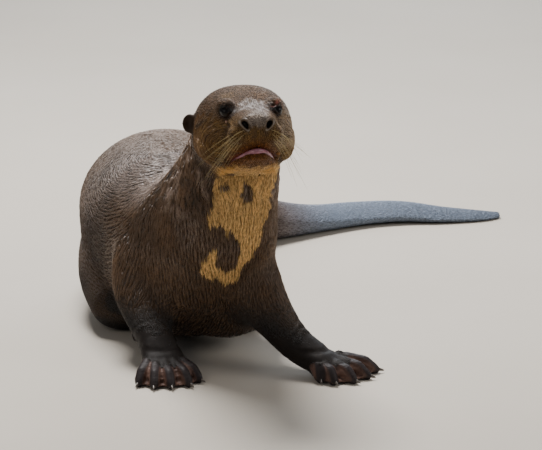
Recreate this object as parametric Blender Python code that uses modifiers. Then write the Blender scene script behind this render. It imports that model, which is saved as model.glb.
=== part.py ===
"""A giant otter, life size, propped on its forelegs with the hindquarters down and the tail laid out to its left.

Frame: metres, +Z up, the animal looks towards -Y, and the origin is under the middle of its bounding box.
The flesh is modelled whole, from lofts blended by a voxel remesh, and is then parted by thin cuts into the
pieces a person would name. All tables below are in millimetres, in a working frame whose origin is on the floor
under the throat: X to the side that the tail lies on, Y backwards, Z up.
"""

import math

import bmesh
import bpy
import numpy as np
from mathutils import Matrix, Vector

MM = 0.001
GAP = 0.3 * MM  # between pieces that meet
PATH_STEPS = 5  # rings between two stations of a loft
TRUNK_VOXEL, TRUNK_ROUNDS = 5.0, 26  # the fusing grid's size, and how often its creases are softened
HEAD_VOXEL, HEAD_ROUNDS = 2.5, 8
FLESH_VOXEL, FLESH_ROUNDS = 2.6, 4
FLESH_TRIANGLES = 3000
CUTTER_SIDES = 12
DOME_DEPTH, DOME_ANGLES = 0.55, (80, 60, 38, 18)  # a rounded end: its depth in half widths, and its rings
DISH_SHARE = 0.66  # the hollow of an ear against the ear
COARSENESS_ON_DETAIL = 0.3  # how readily the face and the paws lose faces, against 1 for the body
TRUNK_FULLNESS = 2.3  # how square the belly's section is; 2 is an ellipse

# ---------------------------------------------------------------------------------------------- the animal's sizes
# A station is x, y, z, half width, half height above the line, half height below it.
SPINE = [
    (4, 58, 352, 54, 48, 54),  # inside the skull
    (-6, 92, 326, 60, 56, 60),  # behind the skull
    (-13, 105, 286, 67, 68, 66),
    (-24, 125, 242, 76, 80, 80),
    (-40, 156, 198, 91, 88, 108),  # base of the neck
    (-66, 206, 160, 106, 98, 145),  # shoulders
    (-96, 282, 148, 116, 106, 150),  # ribs
    (-111, 365, 142, 124, 110, 150),  # highest part of the back
    (-113, 445, 134, 124, 108, 144),  # loins
    (-101, 525, 116, 110, 98, 124),  # hips
    (-78, 592, 90, 87, 80, 98),
    (-44, 642, 62, 62, 58, 66),  # root of the tail
    (2, 680, 42, 52, 44, 46),
]
TAIL = [
    (-44, 642, 62, 60, 56, 64),
    (2, 680, 42, 51, 40, 44),
    (54, 712, 28, 46, 27, 32),
    (118, 752, 19, 44, 16, 23),
    (182, 786, 15, 44, 13, 18),
    (248, 800, 14, 41, 11, 16),
    (312, 798, 9, 35, 8, 12),
    (370, 800, 6, 25, 6, 9),
    (404, 806, 5, 13, 4, 7),
]
FORELEGS = {
    "right": [
        (-92, 186, 172, 62, 64, 66),
        (-122, 178, 136, 58, 56, 58),
        (-136, 156, 96, 44, 45, 46),  # elbow
        (-128, 122, 64, 33, 33, 33),
        (-116, 90, 44, 28, 24, 32),  # wrist
        (-106, 66, 30, 32, 16, 31),
        (-100, 46, 22, 33, 11, 22),  # palm
    ],
    "left": [
        (-20, 160, 156, 60, 60, 60),
        (8, 142, 118, 48, 48, 48),
        (31, 118, 86, 37, 38, 38),  # elbow
        (55, 94, 60, 30, 30, 30),
        (79, 76, 42, 26, 23, 31),  # wrist
        (112, 59, 28, 29, 14, 29),
        (133, 53, 20, 27, 9, 20),
    ],
}
BRISKET_AT, BRISKET_RADII = (-24, 186, 84), (80, 76, 70)  # the chest's low front, between the forelegs
HINDLEGS = {
    "right": [
        (-122, 496, 104, 78, 80, 100),  # hip
        (-154, 410, 90, 80, 78, 94),
        (-172, 318, 68, 66, 62, 70),
        (-170, 240, 40, 46, 42, 44),  # knee
    ],
    "left": [
        (-94, 500, 104, 74, 78, 100),
        (-62, 425, 90, 78, 74, 92),
        (-36, 350, 68, 62, 58, 70),
        (-26, 300, 44, 44, 38, 46),
    ],
}
HINDFEET = {  # heel to the roots of the toes
    "right": [
        (-152, 345, 26, 24, 24, 28),
        (-146, 302, 22, 26, 20, 25),
        (-136, 264, 16, 28, 14, 18),
    ],
    "left": [
        (-4, 382, 26, 24, 24, 28),
        (-2, 344, 22, 26, 20, 25),
        (4, 308, 16, 30, 14, 18),
    ],
}
# A paw's digits, thumb first: where each tip stands on the floor, and where the digits fan out from.
PAWS = {
    "fore_right": {"wrist": (-112, 80), "tips": [(-53, 28), (-67, 10), (-92, 2), (-116, 1), (-138, 12)]},
    "fore_left": {"wrist": (96, 70), "tips": [(109, 26), (129, 17), (157, 24), (177, 43), (189, 70)]},
    "hind_right": {"wrist": (-137, 276), "tips": [(-108, 224), (-111, 205), (-121, 194), (-135, 192), (-149, 201)]},
    "hind_left": {"wrist": (2, 320), "tips": [(-24, 264), (-10, 247), (11, 240), (33, 247), (48, 266)]},
}
# Where the face and the paws are, and how far their fine detail reaches.
FINE_SPOTS = [
    ((30, -10, 360), 90),
    ((-98, 36, 10), 90),
    ((148, 48, 10), 90),
    ((-110, 220, 10), 80),
    ((6, 275, 10), 80),
]
DIGITS = ("thumb", "second", "third", "fourth", "fifth")
DIGIT_LENGTH_SHARE = (0.40, 0.72, 0.90, 1.0)  # knuckle, middle joint, pad and tip, along wrist to tip
DIGIT_HEIGHT = {"fore": (23, 18.5, 9.5, 6), "hind": (20, 15, 8.5, 6)}
DIGIT_RADIUS = (9.5, 9.3, 7.8, 4.5)
SOLE_PRESS = 1.5  # how far below the floor a digit's underside would reach
WEB_THICKNESS = 4.6
WEB_TO, WEB_SCALLOP = 0.93, 0.14  # how far along the digits the skin between them reaches, and how far it dips back
WEB_STEPS, WEB_FLOOR = 9, 3.4
WEB_HEIGHT, WEB_SAG = 0.72, 0.18  # its height as a share of the digits', and how much lower it is midway
CLAW_LENGTH, CLAW_RADIUS = 10.0, 2.4
CLAW_DIP, CLAW_REACH, CLAW_RAISE = -0.32, 3.6, -0.8  # its slope, and its middle from the digit's end point
PAW_FLESH = {"fore_right": "forepaw_right", "fore_left": "forepaw_left"}
PAW_FLESH |= {"hind_right": "hindfoot_right", "hind_left": "hindfoot_left"}

# The head's own frame: x to the animal's left, b backwards from the tip of the nose, u upwards.
NOSE = (25.0, -60.0, 392.5)
HEAD_YAW, HEAD_PITCH, HEAD_ROLL = 11.7, 17.0, -1.5  # degrees: towards its left, nose up, left side up
WIDEST_AT = 0.45  # the height at which the head is widest, as a share of the whole
# A station of the head is b, half width, top, bottom.
SKULL = [
    (0, 15, 6, -9),
    (3, 21.5, 10, -15),
    (9, 26.5, 13.5, -23),
    (18, 31, 16.5, -32),
    (30, 36, 20.5, -42),
    (44, 43.5, 28, -50),
    (60, 53, 40, -56),
    (80, 61.5, 49, -60),
    (100, 66, 53, -62),
    (120, 66.5, 52, -64),
    (142, 64, 47, -66),
    (166, 60, 36, -68),
]
JAW = [
    (13, 12, -37, -46),
    (17, 17, -35, -51),
    (26, 22, -35, -55),
    (40, 29, -36, -59),
    (60, 37, -38, -63),
    (84, 44, -38, -66),
    (112, 48, -38, -70),
]
WHISKER_PAD = {"at": (20, 22, -15), "radii": (18.5, 17, 15)}
BROW = {"at": (33, 50, 24), "radii": (13, 17, 10)}
CHEEK = {"at": (41, 86, -22), "radii": (24, 42, 32)}
EYE_AT, EYE_RADIUS = (33.0, 44, 14), 8.0
EAR_AT = {"right": (69, 118, 3), "left": (60, 126, 6)}  # the left one is folded back against the neck
EAR_RADII, EAR_DISH = (12, 8, 14.5), (3.0, -6.5, 1.0)
MOUTH_TOP, LIP_DEPTH, MOUTH_HALF_WIDTH = -30.0, 4.5, 50.0  # the arch between the lips, and the pink below it
MOUTH_BACK, JAW_BACK = 36.0, 96.0
ARCH_SLOPE = 3.0  # how much lower the arch is at its back
BEFORE_THE_NOSE, BELOW_THE_CHIN = 30.0, 150.0  # how far its cutter reaches past the head

COAT_BROWN = (0.085, 0.055, 0.038)
PAW_BROWN = (0.06, 0.045, 0.042)
THROAT = (0.50, 0.33, 0.15)
EYE_BLACK = (0.012, 0.009, 0.008)
CLAW_HORN = (0.22, 0.16, 0.12)
TONGUE_PINK = (0.45, 0.16, 0.17)


# ---------------------------------------------------------------------------------------------- modelling helpers
def clear_scene():
    for obj in list(bpy.data.objects):
        bpy.data.objects.remove(obj, do_unlink=True)


def collection(name, shown=True):
    made = bpy.data.collections.new(name)
    made.hide_render = not shown
    bpy.context.scene.collection.children.link(made)
    return made


def material(name, colour, roughness):
    made = bpy.data.materials.new(name)
    made.use_nodes = True
    shader = made.node_tree.nodes["Principled BSDF"]
    shader.inputs["Base Color"].default_value = (*colour, 1.0)
    shader.inputs["Roughness"].default_value = roughness
    return made


def add_object(name, mesh, where):
    obj = bpy.data.objects.new(name, mesh)
    where.objects.link(obj)
    return obj


def through(points, steps=PATH_STEPS):
    """A smooth path through the points, by Catmull-Rom, with the given number of steps between two of them."""
    given = np.asarray(points, float)
    ends = np.vstack([2 * given[0] - given[1], given, 2 * given[-1] - given[-2]])
    t = np.linspace(0, 1, steps, endpoint=False)[:, None]
    spans = []
    for a, b, c, d in zip(ends, ends[1:], ends[2:], ends[3:]):
        curve = 2 * b + (c - a) * t + (2 * a - 5 * b + 4 * c - d) * t**2 + (3 * b - a - 3 * c + d) * t**3
        spans.append(curve / 2)
    return np.vstack([*spans, given[-1:]])


def skin_rings(rings):
    """A closed tube through rings of equal count, with a fan over each end."""
    shape = bmesh.new()
    loops = [[shape.verts.new(point) for point in ring] for ring in rings]
    count = len(loops[0])
    for near, far in zip(loops, loops[1:]):
        for i in range(count):
            j = (i + 1) % count
            shape.faces.new((near[i], near[j], far[j], far[i]))
    for loop, ring in ((loops[0][::-1], rings[0]), (loops[-1], rings[-1])):
        centre = shape.verts.new(np.mean(ring, axis=0))
        for i in range(count):
            shape.faces.new((loop[i], loop[(i + 1) % count], centre))
    bmesh.ops.recalc_face_normals(shape, faces=shape.faces)
    return shape


def to_mesh(shape, name):
    mesh = bpy.data.meshes.new(name)
    shape.to_mesh(mesh)
    shape.free()
    return mesh


def ring_angles(count):
    return np.linspace(0, 2 * math.pi, count, endpoint=False)


def loft(name, stations, where, sides=28, belly=2.0):
    """A tube of oval rings along the stations' line, its ends domed. Its width stays level, as on a standing body.

    A belly over 2 makes the lower half of each ring squarer than an ellipse.
    """
    path = through(stations)
    centre, size = path[:, :3], path[:, 3:]
    along = np.gradient(centre, axis=0)
    along /= np.linalg.norm(along, axis=1)[:, None]
    across = np.cross(along, (0, 0, 1))
    across /= np.linalg.norm(across, axis=1)[:, None]
    above = np.cross(across, along)
    turn = ring_angles(sides)
    rings = []
    power = np.where(np.sin(turn) > 0, 1.0, 2 / belly)
    wide = np.sign(np.cos(turn)) * np.abs(np.cos(turn)) ** power
    high = np.sign(np.sin(turn)) * np.abs(np.sin(turn)) ** power
    for i, (middle, (half, up, down)) in enumerate(zip(centre, size)):
        height = np.where(high > 0, up, down) * high
        ring = middle + across[i] * (half * wide)[:, None] + above[i] * height[:, None]
        rings.append(ring * MM)
    rings = [*domed(rings[0], -along[0], size[0]), *rings, *domed(rings[-1], along[-1], size[-1])[::-1]]
    return add_object(name, to_mesh(skin_rings(rings), name), where)


def domed(ring, outwards, size):
    """Rings that close a tube's end as a dome, widest last."""
    middle = ring.mean(axis=0)
    depth = DOME_DEPTH * min(size) * MM
    made = []
    for angle in DOME_ANGLES:
        a = math.radians(angle)
        made.append(middle + (ring - middle) * math.cos(a) + outwards * depth * math.sin(a))
    return made


def ellipsoid(name, at, radii, where, matrix=None, sides=32):
    shape = bmesh.new()
    bmesh.ops.create_uvsphere(shape, u_segments=sides, v_segments=sides // 2, radius=1.0)
    bmesh.ops.scale(shape, vec=Vector(radii) * MM, verts=shape.verts)
    bmesh.ops.translate(shape, vec=Vector(at) * MM, verts=shape.verts)
    if matrix:
        bmesh.ops.transform(shape, matrix=matrix, verts=shape.verts)
    return add_object(name, to_mesh(shape, name), where)


def evaluated_mesh(obj):
    """The object's mesh with its modifiers applied, in world space."""
    graph = bpy.context.evaluated_depsgraph_get()
    mesh = bpy.data.meshes.new_from_object(obj.evaluated_get(graph), depsgraph=graph)
    mesh.transform(obj.matrix_world)
    return mesh


def joined(name, pieces, where):
    """One object with all the pieces' faces, and the pieces removed."""
    shape = bmesh.new()
    for piece in pieces:
        mesh = evaluated_mesh(piece)
        shape.from_mesh(mesh)
        bpy.data.meshes.remove(mesh)
        bpy.data.objects.remove(piece)
    return add_object(name, to_mesh(shape, name), where)


def apply_modifiers(obj):
    mesh = evaluated_mesh(obj)
    obj.modifiers.clear()
    obj.data = mesh
    return obj


def blended(obj, voxel, rounds):
    """The object's overlapping shapes fused into one skin, their creases smoothed over."""
    remesh = obj.modifiers.new("fuse", "REMESH")
    remesh.mode = "VOXEL"
    remesh.voxel_size = voxel * MM
    smooth = obj.modifiers.new("soften", "SMOOTH")
    smooth.factor = 0.5
    smooth.iterations = rounds
    return apply_modifiers(obj)


def boolean(obj, cutter, operation):
    cut = obj.modifiers.new(operation.lower(), "BOOLEAN")
    cut.operation = operation
    cut.object = cutter
    cut.solver = "MANIFOLD"  # a long chain of cuts by EXACT leaves open edges
    return apply_modifiers(obj)


def copy_of(obj, name, where):
    return add_object(name, obj.data.copy(), where)


# ---------------------------------------------------------------------------------------------- the head's frame
def head_matrix():
    """From the head's own x, b, u to the working frame."""
    yaw, pitch, roll = (math.radians(angle) for angle in (HEAD_YAW, HEAD_PITCH, HEAD_ROLL))
    turn = Matrix.Rotation(yaw, 4, "Z") @ Matrix.Rotation(-pitch, 4, "X") @ Matrix.Rotation(-roll, 4, "Y")
    return Matrix.Translation(Vector(NOSE) * MM) @ turn


def head_loft(name, stations, where, sides=36, power=2.35):
    """Rings across the head's length: ovals slightly squared, widest at a given share of their height."""
    path = through(stations)
    turn = ring_angles(sides)
    rings = []
    for back, half, top, bottom in path:
        middle = bottom + WIDEST_AT * (top - bottom)
        cos, sin = np.cos(turn), np.sin(turn)
        x = half * np.sign(cos) * np.abs(cos) ** (2 / power)
        z = np.sign(sin) * np.abs(sin) ** (2 / power)
        z = middle + np.where(z > 0, z * (top - middle), z * (middle - bottom))
        rings.append(np.column_stack([x, np.full_like(x, back), z]) * MM)
    obj = add_object(name, to_mesh(skin_rings(rings), name), where)
    obj.data.transform(head_matrix())
    return obj


def build_head(where):
    """Skull and face, jaw, whisker pads, brows and cheeks, in one skin."""
    matrix = head_matrix()
    lumps = [head_loft("skull", SKULL, where), head_loft("jaw_flesh", JAW, where)]
    for label, lump in (("pad", WHISKER_PAD), ("brow", BROW), ("cheek", CHEEK)):
        for side in (-1, 1):
            x, b, u = lump["at"]
            lumps.append(ellipsoid(f"{label}{side}", (side * x, b, u), lump["radii"], where, matrix))
    return blended(joined("head_flesh", lumps, where), HEAD_VOXEL, HEAD_ROUNDS)


# ---------------------------------------------------------------------------------------------- paws
def digit_line(limb, wrist, tip):
    """Knuckle, middle joint, pad and tip of a digit, in millimetres."""
    start, end = np.array(wrist, float), np.array(tip, float)
    points = []
    for share, height in zip(DIGIT_LENGTH_SHARE, DIGIT_HEIGHT[limb]):
        points.append([*(start + share * (end - start)), height])
    return np.array(points)


def digit(name, line, where):
    radius = np.array(DIGIT_RADIUS)
    stations = np.column_stack([line, radius, radius, line[:, 2] + SOLE_PRESS])
    stations[-1, 2] = radius[-1]
    return loft(name, stations, where, sides=16)


def web(name, line, other, where):
    """The skin between two digits: a ruled sheet with a scalloped free edge, given its thickness."""
    near, far = through(line, 8), through(other, 8)
    rows = []
    for v in np.linspace(0, 1, WEB_STEPS):
        last = WEB_TO - WEB_SCALLOP * math.sin(math.pi * v)
        share = np.linspace(0, last, WEB_STEPS) * (len(near) - 1)
        low = np.clip(share.astype(int), 0, len(near) - 2)
        part = (share - low)[:, None]
        a = near[low] * (1 - part) + near[low + 1] * part
        b = far[low] * (1 - part) + far[low + 1] * part
        row = a * (1 - v) + b * v
        row[:, 2] = np.maximum(row[:, 2] * (WEB_HEIGHT - WEB_SAG * math.sin(math.pi * v)), WEB_FLOOR)
        rows.append(row * MM)
    shape = bmesh.new()
    grid = [[shape.verts.new(point) for point in row] for row in rows]
    for left, right in zip(grid, grid[1:]):
        for i in range(WEB_STEPS - 1):
            shape.faces.new((left[i], left[i + 1], right[i + 1], right[i]))
    bmesh.ops.recalc_face_normals(shape, faces=shape.faces)
    obj = add_object(name, to_mesh(shape, name), where)
    wall = obj.modifiers.new("wall", "SOLIDIFY")
    wall.thickness = WEB_THICKNESS * MM
    wall.offset = 0
    return obj


def paw_pieces(paw, spec, where):
    limb = paw.split("_")[0]
    lines = [digit_line(limb, spec["wrist"], tip) for tip in spec["tips"]]
    pieces = [digit(f"{paw}_{label}", line, where) for label, line in zip(DIGITS, lines)]
    pieces += [web(f"{paw}_web{i}", a, b, where) for i, (a, b) in enumerate(zip(lines, lines[1:]))]
    return pieces


# ---------------------------------------------------------------------------------------------- the whole flesh
def build_flesh(where):
    """Everything of flesh in one skin, pressed flat where it rests on the floor."""
    trunk = [loft("spine", SPINE, where, belly=TRUNK_FULLNESS)]
    trunk.append(ellipsoid("brisket", BRISKET_AT, BRISKET_RADII, where))
    trunk += [loft(f"foreleg_{side}", line, where) for side, line in FORELEGS.items()]
    trunk += [loft(f"hindleg_{side}", line, where) for side, line in HINDLEGS.items()]
    body = blended(joined("body_flesh", trunk, where), TRUNK_VOXEL, TRUNK_ROUNDS)
    fine = [loft("tail", TAIL, where), build_head(where)]
    fine += [loft(f"hindfoot_{side}", line, where, sides=20) for side, line in HINDFEET.items()]
    for paw, spec in PAWS.items():
        fine += paw_pieces(paw, spec, where)
    flesh = blended(joined("flesh", [body, *fine], where), FLESH_VOXEL, FLESH_ROUNDS)
    return thinned(flesh)


def thinned(flesh):
    """Fewer faces where the form is broad, and most of them kept on the face and the paws."""
    spots = [(Vector(at) * MM, reach * MM) for at, reach in FINE_SPOTS]
    broad = flesh.vertex_groups.new(name="broad")
    for vertex in flesh.data.vertices:
        nearness = max(1 - (vertex.co - at).length / reach for at, reach in spots)
        broad.add([vertex.index], min(1.0, max(COARSENESS_ON_DETAIL, 1 - 2 * nearness)), "REPLACE")
    cut = flesh.modifiers.new("thin", "DECIMATE")
    cut.ratio = FLESH_TRIANGLES / (2 * len(flesh.data.polygons))
    cut.vertex_group = broad.name
    cut.vertex_group_factor = 1.0
    apply_modifiers(flesh)
    flesh.vertex_groups.clear()
    return flesh


# ---------------------------------------------------------------------------------------------- parting the flesh
def as_cutter(obj):
    obj.hide_render = True
    obj.display_type = "WIRE"
    return obj


def grown(obj, by, where):
    """A copy of a closed object, each face moved outwards by a distance."""
    shape = bmesh.new()
    shape.from_mesh(obj.data)
    shape.normal_update()
    moved = [vertex.co + vertex.normal * by * vertex.calc_shell_factor() for vertex in shape.verts]
    for vertex, place in zip(shape.verts, moved):
        vertex.co = place
    return as_cutter(add_object(f"{obj.name}_room", to_mesh(shape, f"{obj.name}_room"), where))


def block(name, at, along, half, depth, where):
    """A box whose near face is centred on a point and looks back against the given direction."""
    shape = bmesh.new()
    bmesh.ops.create_cube(shape, size=1.0)
    bmesh.ops.scale(shape, vec=Vector((2 * half, 2 * half, depth)) * MM, verts=shape.verts)
    bmesh.ops.translate(shape, vec=Vector((0, 0, depth / 2)) * MM, verts=shape.verts)
    turn = Vector(along).to_track_quat("Z", "Y").to_matrix().to_4x4()
    bmesh.ops.transform(shape, matrix=Matrix.Translation(Vector(at) * MM) @ turn, verts=shape.verts)
    return add_object(name, to_mesh(shape, name), where)


def ball(name, at, radii, where):
    return ellipsoid(name, at, radii, where, sides=CUTTER_SIDES)


def sleeve(name, stations, room, where):
    """The convex hull of a ball at each station, wider than the limb by the room around it."""
    shape = bmesh.new()
    for x, y, z, *halves in stations:
        size = (max(halves) + room) * MM
        place = Matrix.Translation(Vector((x, y, z)) * MM) @ Matrix.Scale(size, 4)
        bmesh.ops.create_icosphere(shape, subdivisions=2, radius=1.0, matrix=place)
    bmesh.ops.delete(shape, geom=shape.edges, context="EDGES_FACES")
    hull = bmesh.ops.convex_hull(shape, input=shape.verts)
    left_over = hull["geom_interior"] + hull["geom_unused"]
    inside = {item for item in left_over if isinstance(item, bmesh.types.BMVert)}
    bmesh.ops.delete(shape, geom=list(inside), context="VERTS")
    bmesh.ops.recalc_face_normals(shape, faces=shape.faces)
    return add_object(name, to_mesh(shape, name), where)


def arch(name, top, back, where):
    """Everything of the head below an arch across the mouth, as far back as the given distance."""
    front_end = (-BEFORE_THE_NOSE, MOUTH_HALF_WIDTH, top, -BELOW_THE_CHIN)
    back_end = (back, MOUTH_HALF_WIDTH, top - ARCH_SLOPE, -BELOW_THE_CHIN)
    return head_loft(name, [front_end, back_end], where, power=2.0)


def parted(flesh, name, cutter, keep, cutters):
    """The piece inside the cutter as a new object, and the same piece and a gap taken from the flesh."""
    piece = boolean(copy_of(flesh, name, keep), as_cutter(cutter), "INTERSECT")
    boolean(flesh, grown(cutter, GAP, cutters), "DIFFERENCE")
    return piece


def without_crumbs(obj):
    """Only the largest of the bodies that a cut left in one object."""
    shape = bmesh.new()
    shape.from_mesh(obj.data)
    bmesh.ops.triangulate(shape, faces=shape.faces)
    left = set(shape.verts)
    islands = []
    while left:
        reached, edge = set(), {left.pop()}
        while edge:
            reached |= edge
            edge = {near for vertex in edge for link in vertex.link_edges for near in link.verts} - reached
        left -= reached
        islands.append(reached)
    largest = max(islands, key=len)
    small = [vertex for island in islands if island is not largest for vertex in island]
    bmesh.ops.delete(shape, geom=small, context="VERTS")
    shape.to_mesh(obj.data)
    shape.free()
    return obj


def part_flesh(flesh, otter, cutters):
    """The flesh cut into its named pieces; what is left at the end is the chest."""
    pieces = {}
    for name, shape, *values in CUTS:
        cutter = shape(f"{name}_cutter", *values, cutters)
        pieces[name] = parted(flesh, name, cutter, otter, cutters)
    return pieces


def part_head(head, otter, cutters):
    """The lower jaw, and in front of it the strip of lip and tongue that shows between the lips."""
    jaw_cutter = arch("jaw_cutter", MOUTH_TOP - LIP_DEPTH, JAW_BACK, cutters)
    jaw = parted(head, "lower_jaw", jaw_cutter, otter, cutters)
    lip_cutter = arch("lip_cutter", MOUTH_TOP, MOUTH_BACK, cutters)
    return {"lower_jaw": jaw, "lip_and_tongue": parted(head, "lip_and_tongue", lip_cutter, otter, cutters)}


FOREARM_ROOM, UPPER_ARM_ROOM = 5.0, 6.0
# The cuts in the order they are made. A ball has its centre and radii. A block has the middle of its near face,
# the way it runs, its half width and its depth. A sleeve has a limb's stations and the room around them.
CUTS = [
    ("hindfoot_right", ball, (-130, 240, 4), (46, 64, 30)),
    ("hindfoot_left", ball, (12, 286, 4), (54, 62, 30)),
    ("thigh_right", ball, (-188, 385, 50), (95, 196, 116)),
    ("thigh_left", ball, (-18, 395, 50), (84, 180, 110)),
    ("forepaw_right", block, (-112, 82, 39), (0.3, -0.8, -0.5), 75, 120),
    ("forepaw_left", block, (88, 72, 38), (0.87, -0.34, -0.37), 85, 160),
    ("forearm_right", sleeve, FORELEGS["right"][2:], FOREARM_ROOM),
    ("forearm_left", sleeve, FORELEGS["left"][2:], FOREARM_ROOM),
    ("upper_arm_right", sleeve, FORELEGS["right"][:3], UPPER_ARM_ROOM),
    ("upper_arm_left", sleeve, FORELEGS["left"][:3], UPPER_ARM_ROOM),
    ("head", block, (-6, 84, 318), (0.1, -0.5, 0.86), 110, 220),
    ("neck", block, (-32, 140, 222), (0.28, -0.55, 0.78), 130, 220),
    ("tail_tip", block, (250, 800, 14), (1, 0.05, -0.05), 90, 300),
    ("tail_middle", block, (96, 738, 22), (0.85, 0.5, -0.12), 120, 400),
    ("tail_root", block, (-30, 653, 56), (0.73, 0.6, -0.32), 230, 600),
    ("rump", block, (-104, 505, 120), (0, 1, -0.25), 260, 400),
    ("loin", block, (-104, 330, 150), (0, 1, 0), 260, 400),
]


# ---------------------------------------------------------------------------------------------- eyes, ears, claws
def seat(piece, flesh, cutters):
    """Takes the piece's own room, and a gap round it, out of the flesh that holds it."""
    boolean(flesh, grown(piece, GAP, cutters), "DIFFERENCE")
    return piece


def eye(side, head, otter, cutters):
    x, b, u = EYE_AT
    x = x if side == "left" else -x
    ball_of_eye = ellipsoid(f"eye_{side}", (x, b, u), [EYE_RADIUS] * 3, otter, head_matrix(), sides=12)
    return seat(ball_of_eye, head, cutters)


def ear(side, head, otter, cutters):
    """A small round flap, hollowed in front."""
    sign = 1 if side == "left" else -1
    x, b, u = EAR_AT[side]
    dish_x, dish_b, dish_u = EAR_DISH
    flap = ellipsoid(f"ear_{side}", (sign * x, b, u), EAR_RADII, otter, head_matrix(), sides=10)
    dish_at = (sign * (x + dish_x), b + dish_b, u + dish_u)
    dish_radii = [DISH_SHARE * radius for radius in EAR_RADII]
    dish = ellipsoid(f"dish_{side}", dish_at, dish_radii, cutters, head_matrix(), sides=10)
    return seat(boolean(flap, as_cutter(dish), "DIFFERENCE"), head, cutters)


def claw(name, line, otter):
    """A blunt horn cone that leaves the digit's tip forwards and a little down."""
    tip, joint = Vector(line[-1]), Vector(line[-2])
    forwards = tip - joint
    forwards.z = 0
    direction = forwards.normalized() + Vector((0, 0, CLAW_DIP))
    shape = bmesh.new()
    bmesh.ops.create_cone(shape, cap_ends=True, segments=6, radius1=CLAW_RADIUS * MM, radius2=0.5 * MM,
                          depth=CLAW_LENGTH * MM)
    turn = direction.to_track_quat("Z", "Y").to_matrix().to_4x4()
    centre = tip + forwards.normalized() * CLAW_REACH + Vector((0, 0, CLAW_RAISE))
    bmesh.ops.transform(shape, matrix=Matrix.Translation(centre * MM) @ turn, verts=shape.verts)
    return add_object(name, to_mesh(shape, name), otter)


def claws(paw, flesh, otter, cutters):
    limb = paw.split("_")[0]
    made = []
    for label, tip in zip(DIGITS, PAWS[paw]["tips"]):
        line = digit_line(limb, PAWS[paw]["wrist"], tip)
        made.append(seat(claw(f"claw_{paw}_{label}", line, otter), flesh, cutters))
    return made


def finish(pieces):
    """One closed body each, shaded smooth, in its own material, with the origin under the middle of the box."""
    for piece in pieces:
        without_crumbs(piece)
        colour, roughness = look_of(piece.name)
        piece.data.materials.clear()
        piece.data.materials.append(material(f"{piece.name}_material", colour, roughness))
        piece.data.shade_smooth()
        piece.data.set_sharp_from_angle(angle=math.radians(45))
    corners = np.array([vertex.co for piece in pieces for vertex in piece.data.vertices])
    low, high = corners.min(axis=0), corners.max(axis=0)
    to_origin = Matrix.Translation((-(low[0] + high[0]) / 2, -(low[1] + high[1]) / 2, -low[2]))
    for obj in bpy.data.objects:
        obj.data.transform(to_origin)


def look_of(name):
    for start, look in LOOKS.items():
        if name.startswith(start):
            return look
    return COAT_BROWN, 0.6


LOOKS = {
    "claw": (CLAW_HORN, 0.4),
    "eye": (EYE_BLACK, 0.1),
    "lip": (TONGUE_PINK, 0.35),
    "forepaw": (PAW_BROWN, 0.5),
    "hindfoot": (PAW_BROWN, 0.5),
    "lower_jaw": (THROAT, 0.6),
}


def main():
    clear_scene()
    otter = collection("otter")
    cutters = collection("cutters", shown=False)
    flesh = build_flesh(otter)
    floor = as_cutter(block("floor_cutter", (0, 400, 0), (0, 0, -1), 1500, 200, cutters))
    boolean(flesh, floor, "DIFFERENCE")
    pieces = part_flesh(flesh, otter, cutters)
    flesh.name = "chest"
    pieces["chest"] = flesh
    head = pieces["head"]
    pieces |= part_head(head, otter, cutters)
    small = [make(side, head, otter, cutters) for make in (eye, ear) for side in ("right", "left")]
    for paw, flesh_name in PAW_FLESH.items():
        small += claws(paw, pieces[flesh_name], otter, cutters)
    finish([*pieces.values(), *small])


main()
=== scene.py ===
"""The looks of a giant otter, life size, wet from the river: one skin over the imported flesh, a short coat
of flat locks, eyes, claws, the lower lip and the whiskers.

Shapes are worked out in millimetres, in a working frame whose origin is on the floor under the throat: X to
the animal's left, Y backwards, Z up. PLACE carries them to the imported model's frame.
"""

import math

import bmesh
import bpy
import numpy as np
from mathutils import Matrix, Vector


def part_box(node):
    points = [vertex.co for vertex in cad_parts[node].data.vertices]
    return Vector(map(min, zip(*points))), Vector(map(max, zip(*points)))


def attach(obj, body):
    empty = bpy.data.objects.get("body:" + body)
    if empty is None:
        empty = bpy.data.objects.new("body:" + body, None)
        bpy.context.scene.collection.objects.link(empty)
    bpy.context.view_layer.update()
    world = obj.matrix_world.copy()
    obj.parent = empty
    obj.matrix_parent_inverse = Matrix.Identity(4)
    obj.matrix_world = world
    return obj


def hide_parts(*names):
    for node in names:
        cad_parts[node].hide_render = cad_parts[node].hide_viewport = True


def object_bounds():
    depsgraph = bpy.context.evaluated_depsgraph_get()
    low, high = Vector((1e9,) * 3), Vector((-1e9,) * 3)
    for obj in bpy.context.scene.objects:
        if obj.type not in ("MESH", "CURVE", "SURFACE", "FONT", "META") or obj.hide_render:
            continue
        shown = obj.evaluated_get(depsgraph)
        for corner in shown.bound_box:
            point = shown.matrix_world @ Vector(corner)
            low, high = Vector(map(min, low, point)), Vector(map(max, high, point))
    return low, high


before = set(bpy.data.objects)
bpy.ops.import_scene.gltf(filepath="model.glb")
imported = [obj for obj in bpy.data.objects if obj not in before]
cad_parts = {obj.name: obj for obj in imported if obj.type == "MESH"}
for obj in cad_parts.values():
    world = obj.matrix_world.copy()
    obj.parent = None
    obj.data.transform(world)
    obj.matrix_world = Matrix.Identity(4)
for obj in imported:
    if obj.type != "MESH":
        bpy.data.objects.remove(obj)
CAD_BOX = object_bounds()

MM = 0.001
rng = np.random.default_rng(11)

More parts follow.
